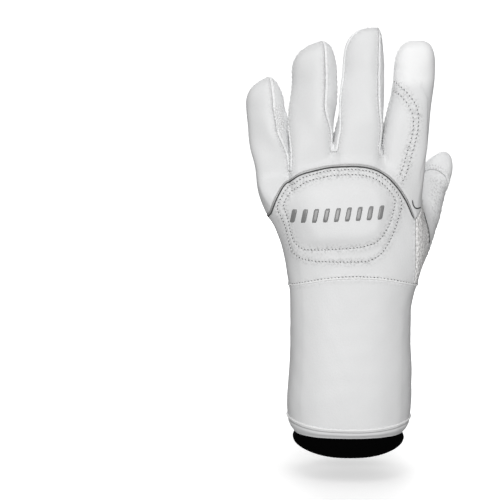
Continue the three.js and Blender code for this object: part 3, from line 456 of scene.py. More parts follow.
@dataclass
class SkinNet:
    """Control net of the whole outer skin, with a panel for each face."""

    body: BodyForm = field(default_factory=BodyForm)
    thumb: ThumbForm = field(default_factory=ThumbForm)
    side: int = 8  # columns on each side of a finger
    lower_rows: int = 18  # from the wrist seam to the arch
    upper_rows: int = 4  # from the arch to the fingers
    straight_rows: int = 14
    dome_rows: int = 9
    thumb_rows: int = 14
    hem_welt_z: float = 21.5
    hem_dip: float = 3.8
    wrist_z: float = 111
    wrist_rise: float = 8
    spread: float = 36
    round_off: float = 15
    cushion: tuple[float, float, float, float, float] = (-5, 162, 34, 25, 2.4)  # x, z, half, tall, rise
    outer_crotch: tuple[float, float] = (184, 190)
    web_rise: float = 12  # how much higher the webs are on the palm side
    thumb_seams: tuple[int, int, int] = (12, 18, 46)  # columns where fabric, suede and leather start
    arch: tuple[tuple[float, float], ...] = (
        (-54.4, 157), (-51.4, 167.4), (-47, 177.2), (-40.8, 183.6), (-34, 188.3), (-21, 191.6), (5, 193.1),
        (15, 190.7), (24, 185.2), (31, 177.6), (37.6, 166), (42.6, 154.5),
    )
    fingers: tuple[FingerForm, ...] = (
        FingerForm(  # little
            30, 35, (2.8, 1.1), (1.8, 1.75),
            ((185, -51.6, 2.5, 11.3, 10.6), (205, -53.75, 3.0, 12.65, 11.4), (221, -55.8, 4.6, 12.6, 11.4),
             (230, -57.1, 6.4, 12.3, 11.0)),
            (-54.8, 10.5, 249.3), (184, 187),
        ),
        FingerForm(  # ring
            28, 35, (4.0, 1.1), (2.2, 2.1),
            ((194, -26.9, -1.5, 14.4, 13.0), (214, -26.05, -1.6, 14.8, 13.4), (234, -25.1, 0.4, 15.0, 13.2),
             (248, -24.4, 3.0, 14.5, 12.6)),
            (-20.2, 8.0, 273), (187, 201),
        ),
        FingerForm(  # middle
            12, 35, (8.0, 3.0), (2.4, 1.4),
            ((200, 4.0, -3.6, 15.4, 13.4), (217, 6.0, -3.8, 14.9, 13.8), (238, 7.0, -1.8, 14.5, 13.6),
             (254, 7.9, 1.4, 13.7, 12.8)),
            (16.8, 7.0, 282), (201, 199),
        ),
        FingerForm(  # index
            0, 32, (2.9, 2.9), (3.2, 3.2),
            ((194, 34.6, -1.4, 14.2, 13.2), (211, 36.5, -1.4, 14.1, 13.4), (234, 39.5, 0.6, 13.3, 13.0),
             (250, 41.8, 3.4, 13.6, 12.2)),
            (43.2, 9.0, 273), (199, 190),
        ),
    )

    def __post_init__(self) -> None:
        """Lay out the ring of columns round the hand."""
        c = self.side
        self.back = 4 * c + 3
        self.radial = self.back
        self.palm = self.radial + c
        self.ulnar = self.palm + self.back
        self.ring = self.ulnar + c
        self.points: list[Array] = []
        self.count = 0
        self.quads: list[Array] = []
        self.quad_tags: list[Array] = []
        self.triangles: list[Array] = []
        self.triangle_tags: list[Array] = []
        self.arch_z = Profile(*np.array(self.arch).T)
        self.top = self.finger_line()
        self.share = self.across_back()

    def add(self, points: Array) -> Array:
        """Add points and return their numbers, in the same layout."""
        count = int(np.prod(points.shape[:-1]))
        numbers = np.arange(self.count, self.count + count).reshape(points.shape[:-1])
        self.points.append(points.reshape(-1, 3))
        self.count += count
        return numbers

    def add_quads(self, quads: Array, tags: Array | int) -> None:
        """Add faces with four corners, with their panels."""
        self.quads.append(quads)
        self.quad_tags.append(np.broadcast_to(tags, len(quads)).astype(np.int32))

    def palm_crotches(self, number: int) -> tuple[float, float]:
        """Return the heights of a finger's line on the palm side, at its two sides."""
        left, right = self.fingers[number].crotches
        return left + self.web_rise * (number > 0), right + self.web_rise * (number < len(self.fingers) - 1)

    def finger_line(self) -> Array:
        """Return the top row of the hand, where the fingers start."""
        c = self.side
        row = np.zeros((self.ring, 3))
        steps = np.arange(c + 1)
        for number, finger in enumerate(self.fingers):
            angles = finger.angles(c)
            left, right = finger.crotches
            first = number * (c + 1)
            back = first + steps
            palm = (self.palm + self.back - (first + c - steps)) % self.ring
            row[back] = finger.section(angles[: c + 1], finger.base)
            row[back, 2] = mix(left, right, steps / c)
            row[palm] = finger.section(angles[2 * c : 3 * c + 1], finger.base)
            palm_left, palm_right = self.palm_crotches(number)
            row[palm, 2] = mix(palm_right, palm_left, steps / c)
        inner = steps[1:-1]
        for end, start, first in ((0, self.ulnar, 3 * c), (-1, self.radial, c)):
            finger = self.fingers[end]
            row[start + inner] = finger.section(finger.angles(c)[first + inner], finger.base)
            row[start + inner, 2] = self.outer_crotch[end]
        return row

    def across_back(self) -> Array:
        """Share of the way from the ulnar to the radial seam of each column on the back or the palm."""
        at = np.arange(self.ring)
        x = self.top[:, 0]
        on_back = at <= self.radial
        low = np.where(on_back, x[0], x[self.ulnar])
        high = np.where(on_back, x[self.radial], x[self.palm])
        return (x - low) / (high - low)

    def level(self, z: Array) -> Array:
        """Return a point for each ring position on the level sections at the given heights.

        The angle of a point on the back or the palm is that of the superellipse at its share between the
        seams, and on the two sides the angle goes evenly from seam to seam.
        """
        at = np.arange(self.ring)
        z = np.broadcast_to(z, (self.ring,)).astype(float)
        body = self.body
        centre, half = body.centre(z), body.half(z)
        middle, depth = (body.back(z) + body.palm(z)) / 2, (body.palm(z) - body.back(z)) / 2

        def angle_of(x: Array) -> Array:
            share = np.clip((x - centre) / half, -1, 1)
            return np.arccos(np.sign(share) * np.abs(share) ** (body.squareness / 2))

        flat = angle_of(mix(body.seam_ulnar(z), body.seam_radial(z), self.share))
        angle = np.where(at > self.radial, -flat, flat)
        radial, ulnar = angle_of(body.seam_radial(z)), angle_of(body.seam_ulnar(z))
        on_side = (at > self.radial) & (at < self.palm)
        angle = np.where(on_side, mix(radial, -radial, (at - self.radial) / self.side), angle)
        turned = mix(-ulnar, ulnar - 2 * np.pi, (at - self.ulnar) / self.side)
        angle = np.where(at > self.ulnar, turned, angle)
        u, v = superellipse(angle, body.squareness)
        return np.stack([centre + u * half, middle - v * depth, z], axis=-1)

    def hand(self, z: Array) -> Array:
        """Return a point for each column at the given heights, with the fingers' forms running out."""
        points = self.level(z)
        below = self.top[:, 2] - points[:, 2]
        points[:, 0] = mix(points[:, 0], self.top[:, 0], 1 - ease(0, self.spread, below))
        points[:, 1] = mix(points[:, 1], self.top[:, 1], 1 - ease(0, self.round_off, below))
        x, z0, half, tall, rise = self.cushion
        across, up = np.abs(points[:, 0] - x) / half, np.abs(points[:, 2] - z0) / tall
        lift = rise * (1 - ease(0.62, 1.05, (across**4 + up**4) ** 0.25))
        points[:, 1] -= np.where(np.arange(self.ring) <= self.radial, lift, 0)
        return points

    def wrist_line(self) -> Array:
        """Height of the wrist seam at each ring position: a parabola across the back, level elsewhere."""
        points = self.level(np.array(self.wrist_z))
        across = (points[:, 0] - self.body.ulnar(self.wrist_z)) / self.body.half(self.wrist_z) - 1
        return self.wrist_z + np.where(points[:, 1] < 0, self.wrist_rise * (1 - across**2), 0)

    def arch_line(self) -> Array:
        """Height of the arch row at each ring position, which holds the piping on the back."""
        at = np.arange(self.ring)
        z = np.full(self.ring, 175.0)
        for _ in range(30):
            z = mix(z, self.arch_z(self.hand(z)[:, 0]), 0.4)
        z = np.minimum(z, self.top[:, 2] - 4.5)
        quarter = self.side / 4
        radial = mix(self.arch_z(42.0), 163, ease(0, 1, (at - self.radial) / quarter))
        palm = mix(163, 152, (at - self.palm) / (self.ulnar - self.palm))
        ulnar = mix(152, self.arch_z(-53.0), (at - self.ulnar) / self.side)
        z = np.where(at > self.radial, radial, z)
        z = np.where(at >= self.palm, palm, z)
        return np.where(at > self.ulnar, ulnar, z)

    def cuff_rows(self) -> list[Array]:
        """Return the rows from the hem's edge up to below the wrist seam."""
        side = self.level(np.array(self.hem_welt_z))[:, 1] / self.body.palm(self.hem_welt_z)
        heights = [11, 12, 13.6, 15.4, 17.4, 19.4, self.hem_welt_z, 23.4, 26, *np.linspace(29.5, 85, 13)]
        rows = []
        for z in heights:
            dip = self.hem_dip * side**2 * ease(11, self.hem_welt_z, z) * (1 - ease(self.hem_welt_z, 70, z))
            rows.append(self.level(z - dip))
        wrist = self.wrist_line()
        rows += [self.hand(mix(85, wrist, share)) for share in np.linspace(0, 1, 9)[1:-1]]
        self.hem_row = heights.index(self.hem_welt_z)
        return rows

    def build(self) -> None:
        """Lay the whole net."""
        wrist, arch, top = self.wrist_line(), self.arch_line(), self.top[:, 2]
        rows = self.cuff_rows()
        wrist_row = len(rows)
        rows += [self.hand(mix(wrist, arch, i / self.lower_rows)) for i in range(self.lower_rows + 1)]
        rows += [self.hand(mix(arch, top, i / self.upper_rows)) for i in range(1, self.upper_rows)]
        rows.append(self.top)
        numbers = self.add(np.array(rows))
        tags = self.hand_tags(len(rows) - 1, wrist_row)
        keep = (tags >= 0).reshape(-1)
        self.add_quads(grid_faces(numbers, True)[keep], tags.reshape(-1)[keep])
        walls = self.finger_walls(numbers[-1])
        self.webs(walls)
        for number in range(len(self.fingers)):
            self.finger(number, walls[number])
        self.thumb_net(numbers[wrist_row:])

    @property
    def hole(self) -> tuple[int, int, int, int]:
        """The thumb's hole in the hand's rows: first and last row, first and last column."""
        left, right = self.radial + self.side // 2, self.palm + 3 * self.side // 4
        return self.lower_rows // 6, self.lower_rows, left, right

    def hand_tags(self, rows: int, wrist_row: int) -> Array:
        """Return the panel of each quad of the cuff and hand, and -1 inside the thumb's hole."""
        row, at = np.meshgrid(np.arange(rows) - wrist_row, np.arange(self.ring), indexing="ij")
        above = row >= self.lower_rows
        back = np.where(above, Panel.FINGER_BACKS, Panel.BACK_PANEL)
        side = np.where(above, Panel.INDEX_WRAP, Panel.THUMB_GUSSET)
        low, high, left, right = self.hole
        cases = (
            ((row >= low) & (row < high) & (at >= left) & (at < right), -1),
            (row + wrist_row < self.hem_row, Panel.HEM_BAND),
            (row < 0, Panel.CUFF),
            (at < self.radial, back),
            (at < self.palm, side),
            (at < self.ulnar, Panel.PALM_PANEL),
        )
        return np.select(*map(list, zip(*cases)), default=back)

    def finger_walls(self, first: Array) -> list[dict[str, Array]]:
        """Add the walls of the webs, and return the four sides of each finger's first ring."""
        c = self.side
        inner = np.arange(1, c)
        walls = []
        for number, finger in enumerate(self.fingers):
            angles = finger.angles(c)
            start = number * (c + 1)

            def web_wall(offset: int, start_z: float, end_z: float) -> Array:
                points = finger.section(angles[offset + inner], finger.base)
                points[:, 2] = mix(start_z, end_z, inner / c)
                return self.add(points)

            last = number == len(self.fingers) - 1
            (back_left, back_right), (palm_left, palm_right) = finger.crotches, self.palm_crotches(number)
            right = first[self.radial + inner] if last else web_wall(c, back_right, palm_right)
            left = first[self.ulnar + inner] if number == 0 else web_wall(3 * c, palm_left, back_left)
            palm = first[(self.palm + self.back - (start + c - np.arange(c + 1))) % self.ring]
            walls.append({"back": first[start : start + c + 1], "right": right, "palm": palm, "left": left})
        return walls

    def webs(self, walls: list[dict[str, Array]]) -> None:
        """Close the strips between neighbouring fingers."""
        for number in range(len(self.fingers) - 1):
            near, far = walls[number], walls[number + 1]
            a = np.concatenate([near["back"][-1:], near["right"], near["palm"][:1]])
            b = np.concatenate([far["back"][:1], far["left"][::-1], far["palm"][-1:]])
            quads = grid_faces(np.stack([a, b]), False)[:, [0, 3, 2, 1]]
            self.add_quads(quads, SIDE_WALLS[number])

    def finger(self, number: int, walls: dict[str, Array]) -> None:
        """Build one finger on its first ring.

        Its rows rise evenly from the finger line to the shoulder, and the tip's rows close while the centre
        moves to the peak as t^3.
        """
        finger, c = self.fingers[number], self.side
        angles = finger.angles(c)
        base = np.concatenate([walls["back"], walls["right"], walls["palm"], walls["left"]])
        steps = np.arange(c + 1)
        left, right = finger.crotches
        palm_left, palm_right = self.palm_crotches(number)
        inner = steps[1:-1] / c
        sides = ((left, right), (right, palm_right), (palm_right, palm_left), (palm_left, left))
        line = np.concatenate([mix(*ends, share) for ends, share in zip(sides, (steps / c, inner) * 2)])
        rows = []
        for t in np.linspace(0, 1, self.straight_rows + 1)[1:]:
            points = finger.section(angles, mix(finger.base, finger.shoulder, t))
            points[:, 2] = mix(line, finger.shoulder, t)
            rows.append(points)
        for t in np.append(np.sin(np.linspace(0, np.pi / 2, self.dome_rows + 1)[1:-1]), 0.993):
            height = mix(finger.shoulder, finger.peak[2], t)
            rows.append(finger.section(angles, height, finger.closing(angles, t), t**3))
        numbers = np.concatenate([base[None], self.add(np.array(rows))])
        row, column = np.meshgrid(np.arange(len(rows)), np.arange(4 * c), indexing="ij")
        tags = self.finger_tags(number, column, row >= self.straight_rows)
        self.add_quads(grid_faces(numbers, True), tags.reshape(-1))
        self.close_tip(numbers[-1], np.array(finger.peak), int(tags[-1, 0]))

    def finger_tags(self, number: int, column: Array, tip: Array) -> Array:
        """Return the panel of each quad round a finger."""
        side = column // self.side
        is_index, is_little = number == len(self.fingers) - 1, number == 0
        back = np.full(column.shape, Panel.FINGER_BACKS)
        if is_index:
            wrapped = tip | (column >= self.side - self.side // 4)
            back = np.where(wrapped, Panel.INDEX_WRAP, back)
        right = Panel.INDEX_WRAP if is_index else SIDE_WALLS[number]
        left = Panel.FINGER_BACKS if is_little else SIDE_WALLS[number - 1]
        if is_index:
            turned = column >= 4 * self.side - 3
            left = np.where(turned, np.where(tip, Panel.INDEX_WRAP, Panel.FINGER_BACKS), left)
        return np.select([side == 0, side == 1, side == 2], [back, right, Panel.PALM_PANEL], left)

    def close_tip(self, ring: Array, peak: Array, tags: Array | int) -> None:
        """Close a ring with triangles to one point."""
        pole = np.broadcast_to(self.add(peak[None]), len(ring))
        self.triangles.append(np.stack([ring, np.roll(ring, -1), pole], axis=1))
        self.triangle_tags.append(np.broadcast_to(tags, len(ring)).astype(np.int32))

    def thumb_net(self, rows: Array) -> None:
        """Grow the thumb out of the hole in the hand's rows, then even out the joint."""
        low, high, left, right = self.hole
        down, up = rows[high:low:-1, left], rows[low:high, right]
        loop = np.concatenate([down, rows[low, left:right], up, rows[high, right:left:-1]])
        edge = np.concatenate(self.points)[loop]
        form, count = self.thumb, len(loop)
        start = np.array(form.line[0][:3])
        nail, side = form.axes(np.array(0.5))
        around = np.unwrap(np.arctan2((edge - start) @ side, (edge - start) @ nail))
        turn = np.sign(around[-1] - around[0])
        angles = around[0] + turn * 2 * np.pi * np.arange(count) / count
        u, v = superellipse(angles, 2.5)
        nail_share = (1 + np.cos(angles)) / 2

        def ring(s: float) -> Array:
            tilt = mix(form.seam_on_palm, form.seam_on_nail, nail_share) - 1
            place = s + tilt * np.where(s < 1, ease(0.15, 1, s), (2 - s) ** 1.5)
            t = np.clip(place - 1, 0, 1)
            close = (1 - t**form.blunt) ** (1 / form.blunt)
            centre, size = form.at(place)
            nail, side = form.axes(place)
            centre = mix(centre, np.array(form.peak), t[:, None])
            out, across = u * size[:, 1] * close, v * size[:, 0] * close
            section = centre + out[:, None] * nail + across[:, None] * side
            return mix(section, edge + centre - start, (1 - ease(0, 0.45, place))[:, None])

        along = np.linspace(0, 1, self.thumb_rows + 1)[1:]
        dome = 1 + np.sin(np.linspace(0, np.pi / 2, self.dome_rows + 1)[1:-1])
        places = np.concatenate([along, dome])
        numbers = np.concatenate([loop[None], self.add(np.array([ring(s) for s in places]))])
        body = np.full(count, Panel.THUMB_PALM)
        strip, suede, crotch = self.thumb_seams
        body[:strip] = body[crotch:] = Panel.THUMB_BACK
        body[strip:suede] = Panel.THUMB_STRIP
        starts = np.concatenate([[0], places[:-1]])
        tags = np.where((starts >= 0.999)[:, None], Panel.THUMB_CAP, body[None])
        self.add_quads(grid_faces(numbers, True), tags.reshape(-1))
        self.close_tip(numbers[-1], np.array(form.peak), Panel.THUMB_CAP)
        row, at = np.meshgrid(np.arange(low - 2, high + 3), np.arange(left - 2, right + 3), indexing="ij")
        inside = (row > low) & (row < high) & (at > left) & (at < right)
        around_hole = rows[row[~inside], at[~inside]]
        self.relax(np.concatenate([around_hole, numbers[1:6].reshape(-1)]), 26, 0.4)

    def relax(self, numbers: Array, rounds: int, share: float) -> None:
        """Move the given points towards the mean of their neighbours, rounds times."""
        points = np.concatenate(self.points)
        quads = np.concatenate(self.quads)
        edges = np.concatenate([quads[:, [k, (k + 1) % 4]] for k in range(4)])
        edges = np.unique(np.sort(edges, axis=1), axis=0)
        degree = np.bincount(edges.reshape(-1), minlength=len(points))
        for _ in range(rounds):
            total = np.zeros_like(points)
            np.add.at(total, edges[:, 0], points[edges[:, 1]])
            np.add.at(total, edges[:, 1], points[edges[:, 0]])
            mean = total[numbers] / degree[numbers][:, None]
            points[numbers] = mix(points[numbers], mean, share)
        self.points = [points]


class Skin:
    """The smoothed skin: fine quads with a panel each, and what is asked of them."""

    def __init__(self, net: SkinNet, levels: int = 2) -> None:
        """Smooth a net and keep its points, faces, panels and normals.

        Args:
            net: the control net, already built.
            levels: how many times the net is subdivided.
        """
        parts = (net.points, net.quads, net.triangles)
        cage = new_mesh("cage", *map(np.concatenate, parts))
        tags = np.concatenate([*net.quad_tags, *net.triangle_tags])
        layer = cage.data.attributes.new("panel", "INT", "FACE")
        layer.data.foreach_set("value", tags)
        smoother = cage.modifiers.new("smooth", "SUBSURF")
        smoother.levels = smoother.render_levels = levels
        smoother.boundary_smooth = "PRESERVE_CORNERS"
        evaluated = cage.evaluated_get(bpy.context.evaluated_depsgraph_get())
        mesh = evaluated.to_mesh()
        points = np.empty(len(mesh.vertices) * 3, np.float32)
        mesh.vertices.foreach_get("co", points)
        corners = np.empty(len(mesh.loops), np.int32)
        mesh.loops.foreach_get("vertex_index", corners)
        self.tags = np.empty(len(mesh.polygons), np.int32)
        mesh.attributes["panel"].data.foreach_get("value", self.tags)
        evaluated.to_mesh_clear()
        bpy.data.objects.remove(cage)
        self.points = points.reshape(-1, 3).astype(float) / MM
        self.faces = corners.reshape(-1, 4)
        self.normals = self.face_normals()
        self.edges, self.pairs = self.shared_edges()
        # painted shade, puckers and a painted highlight, one number a point for the materials
        self.dusk, self.pucker, self.polish = np.zeros((3, len(self.points)))
        self.seam_gap = np.full(len(self.points), FAR)
        self.tree: BVHTree | None = None

    def face_normals(self) -> Array:
        """Return the normal at each point: the sum of the crossed diagonals of its faces."""
        a, b, c, d = (self.points[self.faces[:, k]] for k in range(4))
        cross = np.cross(c - a, d - b)
        total = np.zeros_like(self.points)
        for k in range(4):
            np.add.at(total, self.faces[:, k], cross)
        return unit(total)

    def shared_edges(self) -> tuple[Array, Array]:
        """Return every edge that two faces share, and the panels of those two faces in rising order."""
        sides = np.concatenate([self.faces[:, [k, (k + 1) % 4]] for k in range(4)])
        sides.sort(axis=1)
        owner = np.tile(np.arange(len(self.faces)), 4)
        key = sides[:, 0].astype(np.int64) * len(self.points) + sides[:, 1]
        order = np.argsort(key, kind="stable")
        same = key[order][1:] == key[order][:-1]
        first, second = order[:-1][same], order[1:][same]
        panels = np.sort(np.stack([self.tags[owner[first]], self.tags[owner[second]]], axis=1), axis=1)
        return sides[first], panels

    def between(self, meetings: Sequence[Meeting]) -> Array:
        """Tell which of the shared edges lie between the given pairs of panels."""
        found = np.zeros(len(self.pairs), bool)
        for meeting in meetings:
            found |= (self.pairs == sorted(meeting)).all(axis=1)
        return found

    def seam(self, *meetings: Meeting) -> Array:
        """Return the points on the seams between the given pairs of panels."""
        return self.points[np.unique(self.edges[self.between(meetings)])]

    def all_seams(self, *left_out: Meeting) -> Array:
        """Return the points on every seam but the given ones."""
        found = (self.pairs[:, 0] != self.pairs[:, 1]) & ~self.between(left_out)
        return self.points[np.unique(self.edges[found])]

    def distance(self, targets: Array, reach: float = FAR - 1) -> Array:
        """Return each point's distance to the nearest of some target points, or more than reach."""
        result = np.full(len(self.points), reach + 1.0)
        low, high = targets.min(axis=0) - reach, targets.max(axis=0) + reach
        near = ((self.points > low) & (self.points < high)).all(axis=1)
        result[near] = nearest_gap(self.points[near].astype(np.float32), targets.astype(np.float32))
        return result

    def darken(self, dusk: Array) -> None:
        """Raise the painted shade at each point to at least the given one."""
        self.dusk = np.maximum(self.dusk, dusk)

    def crease(self, pucker: Array) -> None:
        """Raise the pucker at each point to at least the given one."""
        self.pucker = np.maximum(self.pucker, pucker)

    def move(self, lift: Array) -> None:
        """Move every point along its normal, and work the normals out again."""
        self.points = self.points + self.normals * lift[:, None]
        self.normals = self.face_normals()

    def drop(self, flat: Array, face: Face) -> tuple[Array, Array]:
        """Put points of the XZ plane on the skin.

        The nearest skin point in the plane gives a tangent plane, and Y is where that plane is met.

        Args:
            flat: pairs of X and Z.
            face: the side of the hand.

        Returns:
            The points and the normals there.
        """
        plane = self.points[:, [0, 2]]
        near = ((plane > flat.min(axis=0) - 3) & (plane < flat.max(axis=0) + 3)).all(axis=1)
        facing = np.nonzero(near & (self.normals[:, 1] * face > 0.12))[0]
        if face is Face.BACK:
            facing = facing[self.points[facing, 1] < 14]
        nearest = self.nearest(flat, self.points[facing][:, [0, 2]])
        base, normal = self.points[facing[nearest]], self.normals[facing[nearest]]
        gap = (flat[:, 0] - base[:, 0]) * normal[:, 0] + (flat[:, 1] - base[:, 2]) * normal[:, 2]
        y = base[:, 1] - gap / normal[:, 1]
        return np.stack([flat[:, 0], y, flat[:, 1]], axis=1), normal

    def settle(self, places: Array) -> tuple[Array, Array]:
        """Move points to the tangent plane of the nearest skin point, and return the normals too."""
        near = ((self.points > places.min(axis=0) - 4) & (self.points < places.max(axis=0) + 4)).all(axis=1)
        near = np.nonzero(near)[0]
        nearest = near[self.nearest(places, self.points[near])]
        base, normal = self.points[nearest], self.normals[nearest]
        gap = ((places - base) * normal).sum(axis=1, keepdims=True)
        return places - gap * normal, normal

    def press(self, places: Array) -> tuple[Array, Array]:
        """Return the nearest places on the faces of the skin, and the normals there."""
        if self.tree is None:
            self.tree = BVHTree.FromPolygons(self.points.tolist(), self.faces.tolist())
        found = [self.tree.find_nearest(place)[:2] for place in places.tolist()]
        return np.array([place for place, _ in found]), np.array([normal for _, normal in found])

    @staticmethod
    def nearest(wanted: Array, points: Array) -> Array:
        """Return the number of the nearest point to each wanted place."""
        found = []
        points, wanted = points.astype(np.float32), wanted.astype(np.float32)
        size = (points**2).sum(axis=1)
        for block in np.array_split(wanted, max(len(wanted) // 200, 1)):
            found.append((size[None] - 2 * block @ points.T).argmin(axis=1))
        return np.concatenate(found)


# Sewing: relief of the panels


@dataclass(frozen=True)
class SewnLines:
    """Lines of stitches on the back, as corner points in the XZ plane of the surface."""

    outer_bottom: tuple[tuple[float, float], ...] = (
        (-45.9, 157.3), (-43.5, 151.2), (-41.5, 142.2), (-39.5, 134.7), (-34.0, 130.6), (-24.2, 129.5),
        (-12.7, 129.4), (-0.1, 129.5), (11.0, 129.8), (19.0, 134.4), (23.8, 141.6), (27.7, 149.9),
        (31.1, 160.0), (33.2, 167.5),
    )
    inner_bottom: tuple[tuple[float, float], ...] = (
        (-42.7, 159.6), (-40.4, 149.0), (-38.0, 140.9), (-32.5, 136.9), (-23.0, 137.0), (-12.8, 137.7),
        (-1.6, 138.5), (6.9, 139.5), (14.1, 141.8), (18.8, 145.0), (22.0, 150.1), (25.3, 155.6),
        (27.4, 164.6),
    )
    index_outer: tuple[tuple[float, float], ...] = (
        (27.6, 247.0), (31.4, 243.7), (35.5, 239.9), (39.6, 235.1), (42.6, 229.6), (43.6, 223.1),
        (43.0, 215.3), (41.1, 206.8), (38.9, 198.9), (36.7, 190.4), (34.8, 183.8), (32.0, 180.0),
    )
    index_inner: tuple[tuple[float, float], ...] = (
        (26.6, 241.6), (30.1, 238.9), (33.8, 235.4), (37.3, 230.9), (39.6, 225.7), (40.3, 219.2),
        (39.1, 211.4), (36.9, 203.5), (34.7, 195.7), (32.8, 188.4), (30.6, 184.0),
    )

    @staticmethod
    def inside_arch(arch: Array, inset: float) -> Array:
        """Return the arch's line moved towards the wrist by an inset, in the XZ plane."""
        flat = arch[:, [0, 2]]
        run = heading(flat)
        inward = np.stack([run[:, 1], -run[:, 0]], axis=1)
        centre = np.array([-5.0, 150.0])
        inward *= np.sign(((centre - flat) * inward).sum(axis=1))[:, None]
        return flat + inset * inward


@dataclass
class Sewing:
    """Pulls the skin in along its seams and stitch lines, puffs it between them, and gathers the wrist."""

    skin: Skin
    lines: SewnLines = field(default_factory=SewnLines)
    seam_depth: float = 0.7
    seam_width: float = 0.75
    piping_depth: float = 0.75
    stitch_depth: float = 0.2
    roll_height: float = 0.32
    crown_height: float = 0.8
    step_height: float = 0.38
    gather_depth: float = 1.7
    gather_row: float = 6.1  # height of a row of puffs
    gather_puff: float = 5.6  # width of a puff
    gather_top: float = 110.2
    gather_foot: tuple[float, float] = (91, 93)  # where the puffs end and the falling folds begin
    bends: tuple[float, float] = (214, 236)  # heights at which the fingers crease on the palm side

    def apply(self) -> None:
        """Work out all the reliefs on the plain form, then move the skin once."""
        skin = self.skin
        self.arch = self.arch_path()
        lift = self.seams() + self.piping_bed() + self.hem_roll()
        lift += self.cushion() + self.index_step() + self.gathers() + self.folds()
        skin.move(lift)

    def arch_path(self) -> Array:
        """Return the arch seam's points in order, from the palm's edge under the little finger to the thumb.

        On the way x - y only grows: round the little finger's side y falls, and over the back x rises.
        """
        points = self.skin.seam(ARCH_SEAM)
        return smooth_path(resample(points[np.argsort(points[:, 0] - points[:, 1])], 0.8), 12)

    def seams(self) -> Array:
        """Plain seams: a bell-shaped valley, a lip on each side, puckers that fade away from it, and painted
        shade.
        """
        skin = self.skin
        height = skin.points[:, 2]
        d = skin.distance(skin.all_seams(*NOT_PLAIN))
        # The shade painted along each seam's groove is fainter where the skin faces out of the back and on the
        # fingers, and fainter still low on the back.
        faint = np.maximum(ease(184, 196, height), ease(0.3, -0.1, skin.normals[:, 1]))
        clear = faint * ease(128, 122, height)
        skin.seam_gap = np.minimum(skin.seam_gap, d + 0.33 * faint + 0.12 * clear)
        # Painted shadow in the fold between the thumb's leather and its neighbours: a wide seam shade line, and
        # dark painted shade below z 158.
        fold = skin.distance(skin.seam(*THUMB_FOLD))
        skin.seam_gap = np.minimum(skin.seam_gap, 0.26 * fold)
        skin.darken(0.95 * bell(fold, 0.9) * (height < 158))
        skin.pucker = 0.32 * bell(d, 2.0, 1.2)
        phase = 1.6 * smooth_noise(skin.points, 9.0, 3)
        along = np.sin(2 * np.pi * height / 3.4 + phase)
        pucker = 0.2 * along * bell(d, 1.1, 1.7) * ease(112, 118, height)
        lip = 0.26 * bell(d, 0.55, 1.25)
        relief = lip + pucker - self.seam_depth * bell(d, self.seam_width)
        tips = np.array([finger.peak for finger in SkinNet.fingers])
        from_tip = np.linalg.norm(skin.points[:, None] - tips[None], axis=2).min(axis=1)
        return relief * ease(1.5, 6.5, from_tip)

    def piping_bed(self) -> Array:
        """The bed that the piping lies in, with painted shade along it, the fold of leather over it, and the
        pucker on each side.
        """
        skin = self.skin
        d = skin.distance(self.arch)
        angle = np.arctan2(skin.points[:, 2] - 120, skin.points[:, 0] + 5)
        wave = np.sin(angle * 130 + 1.2 * smooth_noise(skin.points, 12.0, 4))
        pucker = 0.1 * wave * bell(d, 1.0, 2.4)
        fold = 0.25 * bell(d, 0.6, 1.7)
        # painted shade in the piping's bed
        skin.darken(0.45 * np.exp(-((d / 0.9) ** 4)))
        return fold + pucker - self.piping_depth * bell(d, 1.15)

    def hem_roll(self) -> Array:
        """The hem: a roll under its corded seam, a tight line with painted shade in it, and a band that ends in
        a folded edge.
        """
        skin = self.skin
        d = skin.distance(skin.seam(HEM_SEAM), 12)
        side = np.clip(np.abs(skin.points[:, 1]) / 31.0, 0, 1)
        below = skin.points[:, 2] < SkinNet.hem_welt_z - 0.1 - SkinNet.hem_dip * side**2
        line = bell(d, 0.5, 2.3)
        # painted shade in the tight line under the roll
        skin.darken(0.75 * np.where(below, line, 0))
        roll = 0.35 * bell(d, 0.7, 1.2) - 0.6 * line + 0.25 * bell(d, 1.3, 4.2)
        return np.where(below, roll, 0) - 0.3 * bell(d, 0.8)

    def on_back(self) -> Array:
        """1 on the back of the hand and 0 on the palm side, softly."""
        return ease(-0.1, -0.35, self.skin.normals[:, 1])

    def flat_distance(self, line: Array) -> Array:
        """Distance in the XZ plane from each skin point on the back to a line, or FAR elsewhere."""
        skin = self.skin
        d = np.full(len(skin.points), FAR)
        low, high = line.min(axis=0) - 6, line.max(axis=0) + 6
        flat = skin.points[:, [0, 2]]
        near = np.nonzero(((flat > low) & (flat < high)).all(axis=1) & (skin.normals[:, 1] < -0.05))[0]
        for block in np.array_split(near, max(len(near) // BLOCK, 1)):
            gap = flat[block][:, None] - line[None]
            d[block] = np.sqrt((gap**2).sum(axis=2).min(axis=1))
        return d

    def groove(self, line: Array, depth: float, width: float = 0.8) -> Array:
        """A narrow valley along a line of stitches on the back, with a little painted shade in it."""
        d = self.flat_distance(line)
        valley = bell(d, width) * self.on_back()
        # a little painted shade in the valley
        self.skin.darken(0.06 * valley)
        self.skin.crease(bell(d, 2.6) * self.on_back())
        return -depth * valley

    def loops(self) -> tuple[Array, Array]:
        """Return the two closed loops of stitches on the knuckle cushion."""
        loops = []
        for inset, bottom in ((2.9, self.lines.outer_bottom), (6.1, self.lines.inner_bottom)):
            top = self.lines.inside_arch(self.arch, inset)
            top = top[(top[:, 1] > bottom[-1][1] + 5) | ((top[:, 0] < 0) & (top[:, 1] > bottom[0][1] + 6))]
            closed = np.concatenate([top[::-1], np.array(bottom)])
            loops.append(smooth_path(resample_ring(closed, 1.0), 8, True))
        return loops[0], loops[1]

